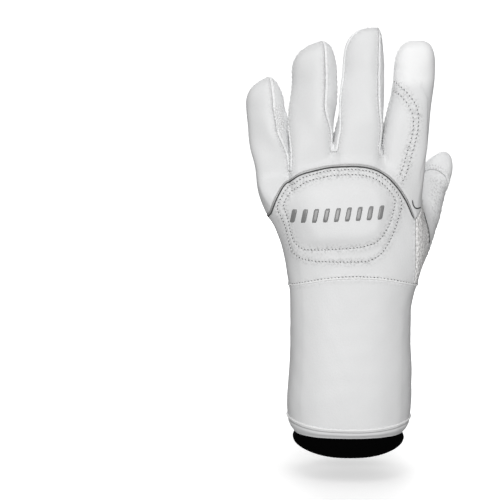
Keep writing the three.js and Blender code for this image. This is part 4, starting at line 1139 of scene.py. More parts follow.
    def cushion(self) -> Array:
        """The knuckle cushion: valleys along both loops, a roll between them and a crown inside."""
        self.outer_loop, self.inner_loop = self.loops()
        points = self.skin.points
        inner = self.inside(points[:, [0, 2]], self.inner_loop)
        outer = self.inside(points[:, [0, 2]], self.outer_loop)
        d_in = self.flat_distance(self.inner_loop)
        d_out = self.flat_distance(self.outer_loop)
        back = self.on_back() * (points[:, 1] < 0)
        roll = np.where(outer & ~inner, self.roll_height * ease(0, 2.2, np.minimum(d_in, d_out)), 0)
        crown = np.where(inner, self.crown_height * ease(0, 8.0, d_in), 0)
        valleys = self.groove(self.inner_loop, self.stitch_depth + 0.1)
        return (roll + crown) * back + (valleys + self.groove(self.outer_loop, self.stitch_depth))

    @staticmethod
    def inside(flat: Array, loop: Array) -> Array:
        """Tell which points of the plane are inside a loop, by counting crossings of a ray along X."""
        hits = np.zeros(len(flat), int)
        a, b = loop, np.roll(loop, -1, axis=0)
        near = np.nonzero(((flat > loop.min(axis=0)) & (flat < loop.max(axis=0))).all(axis=1))[0]
        for block in np.array_split(near, max(len(near) // BLOCK, 1)):
            p = flat[block][:, None]
            crosses = (a[None, :, 1] > p[..., 1]) != (b[None, :, 1] > p[..., 1])
            rise = np.where(b[:, 1] == a[:, 1], 1e-9, b[:, 1] - a[:, 1])
            x = a[None, :, 0] + (p[..., 1] - a[None, :, 1]) / rise[None] * (b - a)[None, :, 0]
            hits[block] = (crosses & (x > p[..., 0])).sum(axis=1)
        return hits % 2 == 1

    def index_step(self) -> Array:
        """The wrap over the index fingertip: a low step at its double row of stitches."""
        self.index_outer = rounded_line(self.lines.index_outer, 20)
        self.index_inner = rounded_line(self.lines.index_inner, 20)
        edge = rounded_line([(x - 0.9, z - 1.2) for x, z in self.lines.index_inner], 20)
        x, _, z = self.skin.points.T
        d = self.flat_distance(edge)
        wrap = self.flat_distance(self.index_outer) < d
        step = np.where(wrap, np.where(d < 4.5, self.step_height * ease(0, 0.8, d), self.step_height), 0)
        region = ease(24.5, 26.5, x) * ease(176, 186, z) * self.on_back()
        # painted highlight on the top of the index fingertip
        self.skin.polish = ease(240, 250, z) * ease(22, 26, x)
        thumb_side = ease(52, 59, x) * ease(138, 148, z) * ease(184, 176, z)
        self.skin.crease(0.8 * thumb_side)
        depth = self.stitch_depth * 0.8
        return step * region + self.groove(self.index_outer, depth) + self.groove(self.index_inner, depth)

    def gathers(self) -> Array:
        """Elastic gathers on the palm side of the wrist.

        Three rows of leaf-shaped puffs under the wrist seam. Across a row a puff is |sin| of the way round,
        sheared one way in one row and the other way in the next, and it is pinched at both ends. Below them
        the leather falls in soft upright folds that die away.
        """
        across, y, z = self.skin.points.T
        x = across + 0.7 * smooth_noise(self.skin.points, 17.0, 5)
        zigzag = np.abs((x / self.gather_puff + 0.25) % 1 - 0.5)
        row = (self.gather_top - z + 2.6 * (zigzag - 0.25) * ease(110, 106, z)) / self.gather_row
        number = np.floor(row)
        way = np.where(number % 2 == 0, 1.0, -1.0)
        inside = row - number
        side = x / self.gather_puff + 0.55 * way * (inside - 0.5) + 0.25 * number
        puff = np.abs(np.sin(np.pi * side)) ** 0.8 * np.sin(np.pi * inside) ** 0.35
        above, palm = ease(*self.gather_foot, z), ease(0, 9, y)
        fade = above * (1 - ease(109.6, 110.4, z)) * palm * ease(41, 36, np.abs(across))
        falling = 0.5 * np.abs(np.sin(np.pi * side)) * ease(74, 90, z) * (1 - above)
        # painted shade in the hollows between the puffs
        self.skin.darken(0.5 * fade * (1 - puff) ** 3)
        return self.gather_depth * (puff - 0.6) * fade + (falling - 0.2 * (falling > 0)) * palm

    def folds(self) -> Array:
        """Soft unevenness of the leather, and the drag folds at the thumb and where the fingers bend."""
        points = self.skin.points
        x, y, z = points.T
        soft = 0.22 * smooth_noise(points, 34.0, 11) + 0.09 * smooth_noise(points, 13.0, 12)
        palm = ease(0.1, 0.5, self.skin.normals[:, 1])
        creases = sum(bell(z - height - 0.08 * (x + 10), 1.6) for height in self.bends)
        across = bell(z - 150 - 0.45 * x, 2.2) * ease(-34, -24, x)
        return soft - 0.35 * creases * palm * (z > 200) - 0.3 * across * palm * (y > 0)


# Pieces


@dataclass
class Shell:
    """The sewn panels, cut out of the skin, each a wall of its own."""

    skin: Skin
    thickness: float = 2.2

    def piece(self, name: str, *panels: Panel) -> Piece:
        """Cut the given panels out of the skin as one piece."""
        skin = self.skin
        chosen = np.isin(skin.tags, panels)
        numbers, faces = np.unique(skin.faces[chosen], return_inverse=True)
        piece = new_mesh(name, skin.points[numbers], faces.reshape(-1, 4))
        for key, values in (("dusk", skin.dusk), ("pucker", skin.pucker), ("polish", skin.polish)):
            add_value(piece, key, values[numbers])
        add_value(piece, "seam", np.minimum(skin.seam_gap[numbers], SEAM_REACH))
        wall(piece, self.thickness)
        return piece

    def build(self, finishes: "Finishes") -> None:
        """Build and dress every panel."""
        leather, side, suede = finishes.leather, finishes.side_leather, finishes.suede
        names = [panel.node.replace("side_walls", "fourchette") for panel in SIDE_WALLS]
        plan = (
            ("hem_facing", leather, "white_leather", Panel.HEM_BAND),
            ("gauntlet", leather, "white_leather", Panel.CUFF),
            ("knuckle_panel", leather, "white_leather", Panel.BACK_PANEL),
            ("finger_leather", leather, "white_leather", Panel.FINGER_BACKS, Panel.INDEX_WRAP),
            ("palm_suede", suede, "grey_suede", Panel.PALM_PANEL, Panel.THUMB_PALM),
            *((name, side, "side_leather", panel) for name, panel in zip(names, SIDE_WALLS)),
            ("thumb_leather", finishes.thumb_leather, "white_leather", Panel.THUMB_BACK),
            ("thumb_tip", finishes.pebbled, "white_leather", Panel.THUMB_CAP),
            ("stretch_gusset", finishes.gusset, "gusset_fabric", Panel.THUMB_GUSSET, Panel.THUMB_STRIP),
        )
        for name, finish, slot, *panels in plan:
            nodes = [panel.node for panel in panels if panel is not Panel.THUMB_STRIP]
            piece = dress(self.piece(name, *panels), finish, slot, *nodes)
            Panel.BACK_PANEL in panels


def tube(
    name: str, path: Array, outward: Array, radius: Array | float, sides: int, closed: bool = False
) -> Piece:
    """Carry a round section along a path.

    Args:
        name: the piece's name.
        path: centre line, in mm.
        outward: a direction for each path point, which the section's start faces.
        radius: radius at each path point, or one for all.
        sides: corners of the section.
        closed: whether the path is a ring. An open one is rounded off at its ends.

    Returns:
        The tube, as one closed mesh.
    """
    run = heading(path, closed)
    out = unit(outward - (outward * run).sum(axis=1, keepdims=True) * run)
    across = np.cross(run, out)
    radius = np.broadcast_to(radius, len(path)).astype(float).copy()
    if not closed:
        way = np.arange(len(path)) * np.linalg.norm(path[1] - path[0])
        for away in (way, way[::-1]):
            t = np.clip(away / radius.max(), 0, 1)
            radius *= np.sqrt(np.clip(1 - (1 - t) ** 2, 0.02, 1))
    angle = turns(sides)
    offset = np.cos(angle)[None, :, None] * out[:, None] + np.sin(angle)[None, :, None] * across[:, None]
    points = path[:, None] + radius[:, None, None] * offset
    numbers = np.arange(points.shape[0] * sides).reshape(-1, sides)
    if closed:
        numbers = np.concatenate([numbers, numbers[:1]])
        return new_mesh(name, points, grid_faces(numbers, True))
    return new_mesh(name, points, grid_faces(numbers, True), np.stack([numbers[0, ::-1], numbers[-1]]))


@dataclass
class Trim:
    """Piping, corded seams, the reflective bars, and dark cords of painted shade beside the piping and in the
    thumb's fold.
    """

    skin: Skin
    sewing: Sewing
    pitch: float = 0.9  # step along a path
    cord_radius: float = 0.78
    binding_radius: float = 0.48
    binding_shift: float = 1.15  # from the piping to the dark cord of painted shade, towards the wrist
    welt_radius: float = 0.7

    def ring_path(self, *meetings: Meeting, axis: Array = np.array([0.0, 0.0, 1.0])) -> Array:
        """Return the points of a seam that goes right round, in order of their angle about an axis."""
        points = self.skin.seam(*meetings)
        first = unit(np.cross(axis, [0.0, 1.0, 0.0]))
        away = points - points.mean(axis=0)
        points = points[np.argsort(np.arctan2(away @ np.cross(axis, first), away @ first))]
        return smooth_path(resample_ring(points, self.pitch), 3, True)

    def crotch_path(self, number: int) -> Array:
        """Return the back seam between two fingers, from one fingertip down and up to the next."""
        points = self.skin.seam((SIDE_WALLS[number], Panel.FINGER_BACKS))
        floor = points[:, 2].min()
        middle = points[points[:, 2] < floor + 1.0, 0].mean()
        tip = points[:, 2].max() - 5
        down = points[(points[:, 0] < middle) & (points[:, 2] < tip)]
        up = points[(points[:, 0] >= middle) & (points[:, 2] < floor + 14)]
        path = np.concatenate([down[np.argsort(-down[:, 2])], up[np.argsort(up[:, 2])]])
        return smooth_path(resample(path, self.pitch), 8)

    def piping(self, finish: Material, shade: Material) -> None:
        """Lay the reflective piping on the arch, and a dark cord along its lower edge: painted shade under the
        piping.
        """
        path, normal = self.skin.settle(resample(self.sewing.arch, self.pitch))
        path = smooth_path(path + 0.4 * normal, 4)
        cord = tube("arch_cord", path[1:-1], normal[1:-1], self.cord_radius, 12)
        dress(cord, finish, "reflective", "arch_piping")
        path, normal = self.skin.press(path - self.binding_shift * np.cross(normal, heading(path)))
        path, normal = smooth_path(path, 4)[2:-2], normal[2:-2]
        dress(tube("arch_edge", path + 0.2 * normal, normal, self.binding_radius, 8), shade, "reflective")

    def fold_line(self, finish: Material) -> None:
        """Lay a dark cord of painted shadow in the fold between the thumb's leather and the stretch gusset, and
        the tack.
        """
        points = self.skin.seam(*THUMB_FOLD[1:])
        points = points[(points[:, 1] < 6) & (points[:, 2] > 138) & (points[:, 2] < 160)]
        path = smooth_path(resample(points[np.argsort(points[:, 2])], self.pitch), 4)
        _, normal = self.skin.press(path)
        dress(tube("fold_edge", path + 0.5 * normal, normal, 0.66, 8), finish, "reflective")
        hook = rounded_line(((39.9, 169.2), (40.1, 165.4), (41.2, 163.2), (43.6, 162.6), (46.4, 163.8)), 12)
        path, normal = self.skin.press(self.skin.drop(hook, Face.BACK)[0])
        dress(tube("thumb_tack", path + 0.15 * normal, normal, 0.42, 8), finish, "reflective")

    def welt(self, name: str, node: str, finish: Material, sink: float, *meetings: Meeting) -> None:
        """Lay a corded seam round the glove, sunk a little into it."""
        path, normal = self.skin.settle(self.ring_path(*meetings))
        wobble = 1 + 0.1 * np.sin(np.arange(len(path)) * 1.7)
        piece = tube(name, path + sink * normal, normal, self.welt_radius * wobble, 10, True)
        dress(piece, finish, "white_welt", node)

    def bars(self, finish: Material) -> None:
        """Lay nine plain slanted bars over the knuckle cushion, each a low crowned plate."""
        count, rows, columns = 9, 9, 7
        u, v = np.meshgrid(np.linspace(-1, 1, columns), np.linspace(-1, 1, rows))
        shrink_u = 1 - 0.18 * np.abs(v) ** 6
        centres = np.linspace(-38.5, 18.5, count)
        x = centres[:, None, None] + 1.8 * shrink_u * u + 0.9 * v
        z = 160.7 + 0.05 * (x + 10) + 4.9 * v * (1 - 0.08 * np.abs(u) ** 6)
        flat = np.stack([x, z], axis=-1).reshape(-1, 2)
        points, normal = self.skin.drop(flat, Face.BACK)
        rim = np.maximum(np.abs(u), np.abs(v))[None]
        height = np.broadcast_to(mix(0.62, -0.25, rim**9), (count, rows, columns)).reshape(-1, 1)
        numbers = np.arange(len(flat)).reshape(count, rows, columns)
        faces = np.concatenate([grid_faces(block, False) for block in numbers])
        piece = new_mesh("slanted_bars", points + height * normal, faces)
        wall(piece, 0.3)
        dress(piece, finish, "reflective", *(f"reflective_bar_{i + 1}" for i in range(count)))


@dataclass
class Stitches:
    """Rows of thread stitches laid on the skin, with a needle hole of painted shade between each two."""

    skin: Skin
    length: float = 1.15
    gap: float = 0.75
    radius: float = 0.3

    def spots(self, rows: Sequence[tuple[Array, Array]]) -> tuple[Array, Array, Array, Array]:
        """Return the middle, run and normal of each stitch of some rows, and the places of the holes."""
        centres, runs, normals, holes = [], [], [], []
        for path, normal in rows:
            even = resample(np.concatenate([path, normal], axis=1), self.length + self.gap)
            centre, outward = self.skin.press((even[1:, :3] + even[:-1, :3]) / 2)
            centres.append(centre)
            runs.append(unit(even[1:, :3] - even[:-1, :3]))
            normals.append(outward)
            holes.append(self.skin.press(even[:-1, :3])[0])
        return tuple(np.concatenate(block) for block in (centres, runs, normals, holes))

    def sew(
        self,
        name: str,
        rows: Sequence[tuple[Array, Array]],
        thread: Material,
        hole: Material | None = None,
    ) -> None:
        """Make one piece of all the stitches of some rows, and one of their needle holes.

        A stitch is a short thread of round section whose middle stands up as 1 - u^2 and whose ends go into
        the leather, a little askew. A hole is a small dark dimple of painted shade: a disc of six sides with its
        middle sunk.

        Args:
            name: start of the pieces' names.
            rows: each row's path on the skin, and the normals along it.
            thread: the stitches' material.
            hole: the holes' material, or none for a row whose holes do not show.
        """
        centre, run, normal, holes = self.spots(rows)
        across = np.cross(run, normal)
        u = np.linspace(-1, 1, 7)
        angle = turns(6)
        thick = self.radius * np.sqrt(np.clip(1 - u**4, 0.04, 1))
        spine = (
            centre[:, None]
            + (run + 0.16 * across)[:, None] * (u * self.length / 2)[None, :, None]
            + normal[:, None] * (0.3 * (1 - u**2) - 0.12)[None, :, None]
        )
        c, s = np.cos(angle)[None, :, None], np.sin(angle)[None, :, None]
        ringed = c * normal[:, None] + s * across[:, None]
        points = spine[:, :, None] + thick[None, :, None, None] * ringed[:, None]
        numbers = np.arange(points.size // 3).reshape(len(centre), 7, 6)
        following = np.roll(numbers, -1, axis=2)
        sides = np.stack([numbers[:, :-1], following[:, :-1], following[:, 1:], numbers[:, 1:]], axis=-1)
        ends = np.concatenate([numbers[:, 0, ::-1], numbers[:, -1]])
        piece = new_mesh(f"{name}_stitches", points, sides.reshape(-1, 4), ends)
        dress(piece, thread, "white_welt")
        if hole:
            self.punch(f"{name}_holes", holes, run, normal, hole)

    @staticmethod
    def punch(name: str, places: Array, run: Array, normal: Array, finish: Material) -> None:
        """Make the needle holes of some rows: small dark discs of painted shade."""
        across = np.cross(run, normal)
        angle = turns(6)
        c, s = np.cos(angle)[None, :, None], np.sin(angle)[None, :, None]
        long, wide = (run + 0.5 * across)[:, None], across[:, None]
        rim = places[:, None] + 0.54 * c * long + 0.35 * s * wide + 0.12 * normal[:, None]
        points = np.concatenate([rim, (places + 0.16 * normal)[:, None]], axis=1)
        numbers = np.arange(points.size // 3).reshape(-1, 7)
        edge = numbers[:, :6]
        middle = np.broadcast_to(numbers[:, 6:], edge.shape)
        fan = np.stack([np.roll(edge, -1, axis=1), edge, middle], axis=-1).reshape(-1, 3)
        piece = new_mesh(name, points, fan)
        wall(piece, 0.12)
        dress(piece, finish, "black_fleece")

    def back_row(self, path: Array, shift: float = 1.5) -> tuple[Array, Array]:
        """Return a row on the back beside a seam that runs down and up round a crotch."""
        _, outward = self.skin.settle(path)
        return self.skin.settle(path - shift * unit(np.cross(outward, heading(path))))

    def beside(self, path: Array, outward: Array, shift: float) -> tuple[Array, Array]:
        """Return a row beside a seam, shifted over the skin across the seam's run."""
        return self.skin.settle(path + shift * np.cross(outward, heading(path, True)))


@dataclass
class GripPad:
    """A grip pad on the palm, with ribs side by side, each round on top."""

    name: str
    node: str
    outline: tuple[tuple[float, float], ...]  # x, z round the pad
    focus: tuple[float, float]  # end of the line that the ribs go round
    lean: float  # degrees that the ribs lean to the thumb as they rise
    pitch: float = 3.3
    base: float = 0.55
    rise: float = 1.25

    def ribs(self, flat: Array) -> Array:
        """Return how many ribs out a point is.

        It is the distance to a straight line that starts at the focus and runs to the wrist, over the pitch,
        so the ribs are straight beside the line and go round its end as half circles.
        """
        lean = math.radians(self.lean)
        down = np.array([-math.sin(lean), -math.cos(lean)])
        away = flat - np.array(self.focus)
        along = np.maximum(away @ down, 0)
        return np.linalg.norm(away - along[..., None] * down, axis=-1) / self.pitch

    def build(self, skin: Skin, finish: Material) -> tuple[Array, Array]:
        """Build the pad, dress it, and return the line of its edge on the skin for its stitches.

        The grid's two parameters span a square. A point's distance from the middle is the larger of the two,
        its bearing picks a point of the outline, and it lies that share of the way out to it. Its height is
        base + rise * |cos(pi * ribs)|^0.7, and it falls to below the skin over the last twentieth.
        """
        around = smooth_path(resample_ring(np.array(self.outline), 0.5), 40, True)
        middle = around.mean(axis=0)
        bearing = np.arctan2(*(around - middle).T[::-1])
        order = np.argsort(bearing)
        a, b = np.meshgrid(np.linspace(-1, 1, 121), np.linspace(-1, 1, 121))
        out = np.maximum(np.abs(a), np.abs(b))
        way = np.arctan2(b, a)
        bearing, sorted_rim = bearing[order], around[order]
        edge = np.stack([np.interp(way, bearing, side, period=2 * np.pi) for side in sorted_rim.T], axis=-1)
        flat = middle + out[..., None] * (edge - middle)
        rib = np.abs(np.cos(np.pi * self.ribs(flat))) ** 0.7
        rim = ease(0.93, 1.0, out)
        height = (self.base + self.rise * rib) * (1 - rim) - 0.45 * rim
        points, normal = skin.drop(flat.reshape(-1, 2), Face.PALM)
        numbers = np.arange(a.size).reshape(a.shape)
        piece = new_mesh(self.name, points + height.reshape(-1, 1) * normal, grid_faces(numbers, False))
        # painted shade in the grooves between the ribs
        add_value(piece, "dusk", ((1 - rib) ** 1.3 * (1 - rim)).reshape(-1))
        add_value(piece, "seam", np.full(a.size, SEAM_REACH))
        wall(piece, 0.4)
        dress(piece, finish, "grip", self.node)
        spokes = around - middle
        ring = middle + spokes * (1 + 1.1 / np.linalg.norm(spokes, axis=1, keepdims=True))
        return skin.drop(np.concatenate([ring, ring[:1]]), Face.PALM)


@dataclass
class InnerCuff:
    """The black fleece tube that shows below the hem: heights and insets carried round the section."""

    body: BodyForm
    rows: tuple[tuple[float, float], ...] = (
        (62, 3.7), (40, 3.7), (19.5, 4.7), (14, 4.5), (10.4, 3.0), (9.2, 1.0), (7, -0.1), (4.5, -0.4), (2, -0.1),
        (0.2, 0.4), (-1.2, 1.5), (-2, 2.6),
    )
    fleece: float = 2.8

    def build(self, finish: Material) -> None:
        """Build the tube, outside up to the lip and back up inside, with fine knitted ribs."""
        sides = 288
        side_lift, sag = 5.4, 1.2
        heights = np.array([z for z, _ in self.rows])
        inset = Profile(heights[::-1], [i for _, i in self.rows][::-1])
        path = [(z, 0.0) for z in np.linspace(62, 10.4, 24)]
        path += [(z, 0.0) for z in np.linspace(10.2, -1.4, 22)]
        path += [(-1.85, 0.35), (-2.0, 0.9), (-2.0, 1.7), (-1.6, 2.5)]
        path += [(z, self.fleece) for z in np.linspace(-0.8, 61.5, 36)]
        z, extra = np.array(path).T
        angle = turns(sides)
        level = np.maximum(z, 11)
        body = self.body
        d = inset(z) + extra
        rib = 0.16 * np.cos(angle * 96)[None] * ease(12, 8, z)[:, None]
        half = (body.half(level) - d)[:, None] + rib
        depth = ((body.palm(level) - body.back(level)) / 2 - d)[:, None] + rib
        u, v = superellipse(angle, body.squareness)
        x = body.centre(level)[:, None] + u[None] * half
        lifted = z[:, None] + (side_lift * np.abs(u) ** 2.5 - sag)[None] * (1 - ease(-2, 10.5, z))[:, None]
        points = np.stack([x, -v[None] * depth, lifted], axis=-1)
        numbers = np.arange(points.size // 3).reshape(len(z), sides)
        numbers = np.concatenate([numbers, numbers[:1]])
        piece = new_mesh("fleece_cuff", points, grid_faces(numbers, True)[:, ::-1])
        dress(piece, finish, "black_fleece", "inner_cuff")


# Materials


Settings = dict[str, object]
Inputs = dict[int | str, object]


class Value:
    """A shader socket that can be used in sums."""

    def __init__(self, graph: "Graph", socket: bpy.types.NodeSocket) -> None:
        """Keep the graph and the socket."""
        self.graph = graph
        self.socket = socket

    def sum(self, operation: str, a: "Value | float", b: "Value | float") -> "Value":
        """Add a Math node and return its result."""
        return self.graph.value("ShaderNodeMath", {"operation": operation}, {0: a, 1: b})

    def __add__(self, other: "Value | float") -> "Value":
        """Sum."""
        return self.sum("ADD", self, other)

    __radd__ = __add__

    def __sub__(self, other: "Value | float") -> "Value":
        """Difference."""
        return self.sum("SUBTRACT", self, other)

    def __mul__(self, other: "Value | float") -> "Value":
        """Product."""
        return self.sum("MULTIPLY", self, other)

    __rmul__ = __mul__


class Graph:
    """Nodes of one material."""

    def __init__(self, name: str) -> None:
        """Start a material with an empty node tree."""
        self.material = bpy.data.materials.new(name)
        self.material.use_nodes = True
        self.tree = self.material.node_tree
        self.tree.nodes.clear()

    def node(self, kind: str, settings: Settings, inputs: Inputs) -> bpy.types.Node:
        """Add a node, set it up, then fill its sockets with values or links."""
        node = self.tree.nodes.new(kind)
        for key, setting in settings.items():
            setattr(node, key, setting)
        for key, item in inputs.items():
            socket = node.inputs[key]
            if isinstance(item, Value):
                self.tree.links.new(item.socket, socket)
            else:
                socket.default_value = item
        return node

    def value(self, kind: str, settings: Settings, inputs: Inputs, out: int | str = 0) -> Value:
        """Add a node and return one of its outputs."""
        return Value(self, self.node(kind, settings, inputs).outputs[out])

    def place(self, stretch: tuple[float, float, float] = (1, 1, 1)) -> Value:
        """Object coordinates, stretched."""
        raw = self.value("ShaderNodeTexCoord", {}, {}, "Object")
        return self.value("ShaderNodeMapping", {}, {"Vector": raw, "Scale": stretch})

    def attribute(self, name: str) -> Value:
        """A number kept on the mesh's points."""
        return self.value("ShaderNodeAttribute", {"attribute_name": name}, {}, "Fac")

    def step(self, value: Value, low: float, high: float, start: float, end: float) -> Value:
        """Go smoothly from start to end as a number goes from low to high."""
        inputs = {"Value": value, "From Min": low, "From Max": high, "To Min": start, "To Max": end}
        return self.value("ShaderNodeMapRange", {"interpolation_type": "SMOOTHSTEP"}, inputs)

    def seam_line(self) -> Value:
        """1 on a seam and 0 beyond 0.5 mm from it, from the distance kept on the mesh; it masks the painted seam
        shade.
        """
        return self.step(self.attribute("seam"), 0.0, 0.5, 1.0, 0.0)

    def noise(self, place: Value, scale: float, detail: float = 2.0, rough: float = 0.5) -> Value:
        """Noise in 0..1."""
        inputs = {"Vector": place, "Scale": scale, "Detail": detail, "Roughness": rough}
        return self.value("ShaderNodeTexNoise", {}, inputs)

    def cells(self, place: Value, scale: float, feature: str = "F1", random: float = 1.0) -> Value:
        """Distance in a pattern of cells."""
        inputs = {"Vector": place, "Scale": scale, "Randomness": random}
        return self.value("ShaderNodeTexVoronoi", {"feature": feature}, inputs, "Distance")

    def blend(self, a: object, b: object, factor: Value | float) -> Value:
        """Mix two colours."""
        node = self.node("ShaderNodeMix", {"data_type": "RGBA"}, {"Factor": factor, 6: a, 7: b})
        return Value(self, node.outputs[2])

    def ramp(self, value: Value, stops: Sequence[tuple[float, float]]) -> Value:
        """Map a number through a few stops."""
        node = self.node("ShaderNodeValToRGB", {}, {0: value})
        elements = node.color_ramp.elements
        while len(elements) > 2:
            elements.remove(elements[-1])
        while len(elements) < len(stops):
            elements.new(0.5)
        for element, (place, grey) in zip(elements, stops):
            element.position = place
            element.color = (grey, grey, grey, 1)
        return Value(self, node.outputs[0])

    def surface(self, constants: Settings, inputs: Inputs, bump: tuple[Value, float, float]) -> None:
        """Finish the material. The bump is its height, its strength and its distance."""
        height, strength, distance = bump
        relief = {"Height": height, "Strength": strength, "Distance": distance}
        normal = self.value("ShaderNodeBump", {}, relief)
        shader = self.node("ShaderNodeBsdfPrincipled", {}, {**constants, **inputs, "Normal": normal})
        out = self.node("ShaderNodeOutputMaterial", {}, {})
        self.tree.links.new(shader.outputs[0], out.inputs[0])


def grey(value: float, warm: float = 0.0) -> tuple[float, float, float, float]:
    """A grey with a little warmth, as a colour."""
    return (value * (1 + warm), value, value * (1 - warm), 1.0)


@dataclass(frozen=True)
class Finish:
    """A material by its name and its tone, the grey that its shades are shares of."""

    name: str
    tone: float

    def shade(self, share: float, warm: float = 0.0) -> tuple[float, float, float, float]:
        """Return a share of the tone, with a little warmth."""
        return grey(self.tone * share, warm)

    def paint(self, g: Graph) -> None:
        """Lay the nodes."""
        raise NotImplementedError

    def build(self) -> Material:
        """Build the material."""
        g = Graph(self.name)
        self.paint(g)
        return g.material


@dataclass(frozen=True)
class LeatherFinish(Finish):
    """Drummed white leather: fine irregular pebbles, faint blotches, painted shade in seams, grooves and
    wrinkles, and a painted highlight.
    """

    pebble: float  # pebbles in a metre
    relief: float
    roughness: float = 0.52
    seam_tone: float = 0.22

    def paint(self, g: Graph) -> None:
        """Lay the nodes."""
        place = g.place()
        warp = g.noise(place, 160, 2)
        grain = g.cells(place, self.pebble, "SMOOTH_F1")
        fine = g.noise(place, self.pebble * 2.2, 3, 0.6)
        soft = g.noise(place, 28, 2)
        seam, dusk = g.seam_line(), g.attribute("dusk")
        crinkle = g.noise(place, 640, 3, 0.65)
        height = grain * 0.7 + fine * 0.35 + warp * 0.25 - 3.0 * seam + crinkle * g.attribute("pucker") * 5.0
        base = g.blend(self.shade(0.955, -0.006), self.shade(1, -0.002), soft)
        base = g.blend(base, self.shade(0.9, -0.004), g.ramp(grain, ((0.35, 0), (0.95, 1))) * 0.25)
        # painted shade in stitch grooves, the hem's crease, the piping's bed and the thumb's fold
        base = g.blend(base, self.shade(self.seam_tone, -0.004), dusk * 0.8)
        # painted highlight on the top of the index fingertip
        base = g.blend(base, grey(0.95, -0.002), g.attribute("polish"))
        # painted shade in the puckers' wrinkles
        wrinkle_shade = g.ramp(crinkle, ((0.38, 1), (0.52, 0))) * g.attribute("pucker")
        base = g.blend(base, self.shade(0.45, -0.004), wrinkle_shade * 0.6)
        # painted shade along each seam's groove
        base = g.blend(base, self.shade(0.2, -0.004), seam * 0.75)
        rough = self.roughness + 0.12 * (fine - 0.5) + 0.2 * dusk
        g.surface(
            {"Specular IOR Level": 0.42, "Sheen Weight": 0.05, "Sheen Roughness": 0.5},
            {"Base Color": base, "Roughness": rough},
            (height, self.relief, 0.0006),
        )


@dataclass(frozen=True)
class SuedeFinish(Finish):
    """Napped pale grey suede: short fibres that lie in patches."""

    groove_tone: float = 0.4
    sheen: float = 0.35

    def paint(self, g: Graph) -> None:
        """Lay the nodes."""
        place = g.place()
        nap = g.noise(place, 90, 3, 0.6)
        fibre = g.noise(g.place((1, 1, 0.35)), 2200, 3, 0.7)
        seam, dusk = g.seam_line(), g.attribute("dusk")
        base = g.blend(self.shade(0.88, -0.028), self.shade(1.05, -0.024), nap)
        base = g.blend(base, self.shade(0.8, -0.028), g.ramp(fibre, ((0.35, 1), (0.65, 0))) * 0.45)
        # painted shade in hollows and grooves, such as the wrist gathers and the grip ribs
        base = g.blend(base, self.shade(self.groove_tone, -0.01), dusk * 0.85)
        # painted shade along each seam's groove
        base = g.blend(base, self.shade(0.2, -0.01), seam * 0.75)
        g.surface(
            {"Specular IOR Level": 0.15, "Sheen Weight": self.sheen, "Sheen Roughness": 0.45},
            {"Base Color": base, "Roughness": 0.86 + 0.1 * fibre},
            (fibre * 0.6 + nap * 0.5, 0.35, 0.0006),
        )


@dataclass(frozen=True)
class StretchFinish(Finish):
    """Coarse stretch fabric: slubbed threads that cross, warm off-white with grey between."""

    def paint(self, g: Graph) -> None:
        """Lay the nodes."""
        slub = g.noise(g.place((1, 1, 0.55)), 620, 4, 0.7)
        cross = g.cells(g.place((1, 1, 0.7)), 760, "F1", 0.8)
        seam = g.seam_line()
        mottle = g.ramp(slub * 0.6 + cross * 0.55, ((0.46, 1), (0.76, 0)))
        base = g.blend(self.shade(0.62, 0.012), self.shade(1.08, 0.008), mottle)
        # painted shade along each seam's groove
        base = g.blend(base, self.shade(0.2, 0.01), seam * 0.75)
        g.surface(
            {"Specular IOR Level": 0.15, "Sheen Weight": 0.2, "Sheen Roughness": 0.6},
            {"Base Color": base, "Roughness": 0.9 + 0.08 * slub},
            (mottle, 0.55, 0.0008),
        )


@dataclass(frozen=True)
class ReflectiveFinish(Finish):
    """Grey film with glass beads under it: satin, a little metallic, with fine scuffs."""

    def paint(self, g: Graph) -> None:
        """Lay the nodes."""
        place = g.place()
        beads = g.cells(place, 2600)
        scuff = g.noise(place, 240, 4, 0.65)
        base = g.blend(self.shade(0.8), self.shade(1.25), scuff)
        g.surface(
            {"Specular IOR Level": 0.5},
            {"Base Color": base, "Roughness": 0.34 + 0.2 * scuff, "Metallic": 0.15 + 0.15 * scuff},
            (beads * 0.5 + scuff * 0.5, 0.12, 0.0003),
        )


@dataclass(frozen=True)
class FleeceFinish(Finish):
    """Black knitted fleece: curled pile that takes light only at its edges."""

    def paint(self, g: Graph) -> None:
        """Lay the nodes."""
        pile = g.noise(g.place((1, 1, 0.6)), 1300, 4, 0.7)
        tufts = g.cells(g.place(), 520)
        base = g.blend(self.shade(0.5), self.shade(2.2), pile)
        g.surface(
            {"Specular IOR Level": 0.02, "Sheen Weight": 0.004, "Sheen Roughness": 0.5},
            {"Base Color": base, "Roughness": 0.9 + 0.1 * pile},
            (pile * 0.6 + tufts * 0.5, 0.7, 0.0008),
        )


@dataclass(frozen=True)
class ThreadFinish(Finish):
    """Twisted polyester thread, or a thin corded edge of leather; its dark copies paint shade in holes and
    folds.
    """

    twist: float = 900.0

    def paint(self, g: Graph) -> None:
        """Lay the nodes."""
        place = g.place((1, 1, 1.6))
        strands = g.noise(place, self.twist, 3, 0.6)
        base = g.blend(self.shade(0.84), self.shade(1), strands)
        inputs = {"Base Color": base, "Roughness": 0.5 + 0.25 * strands}
        g.surface({"Specular IOR Level": 0.35}, inputs, (strands, 0.3, 0.0003))


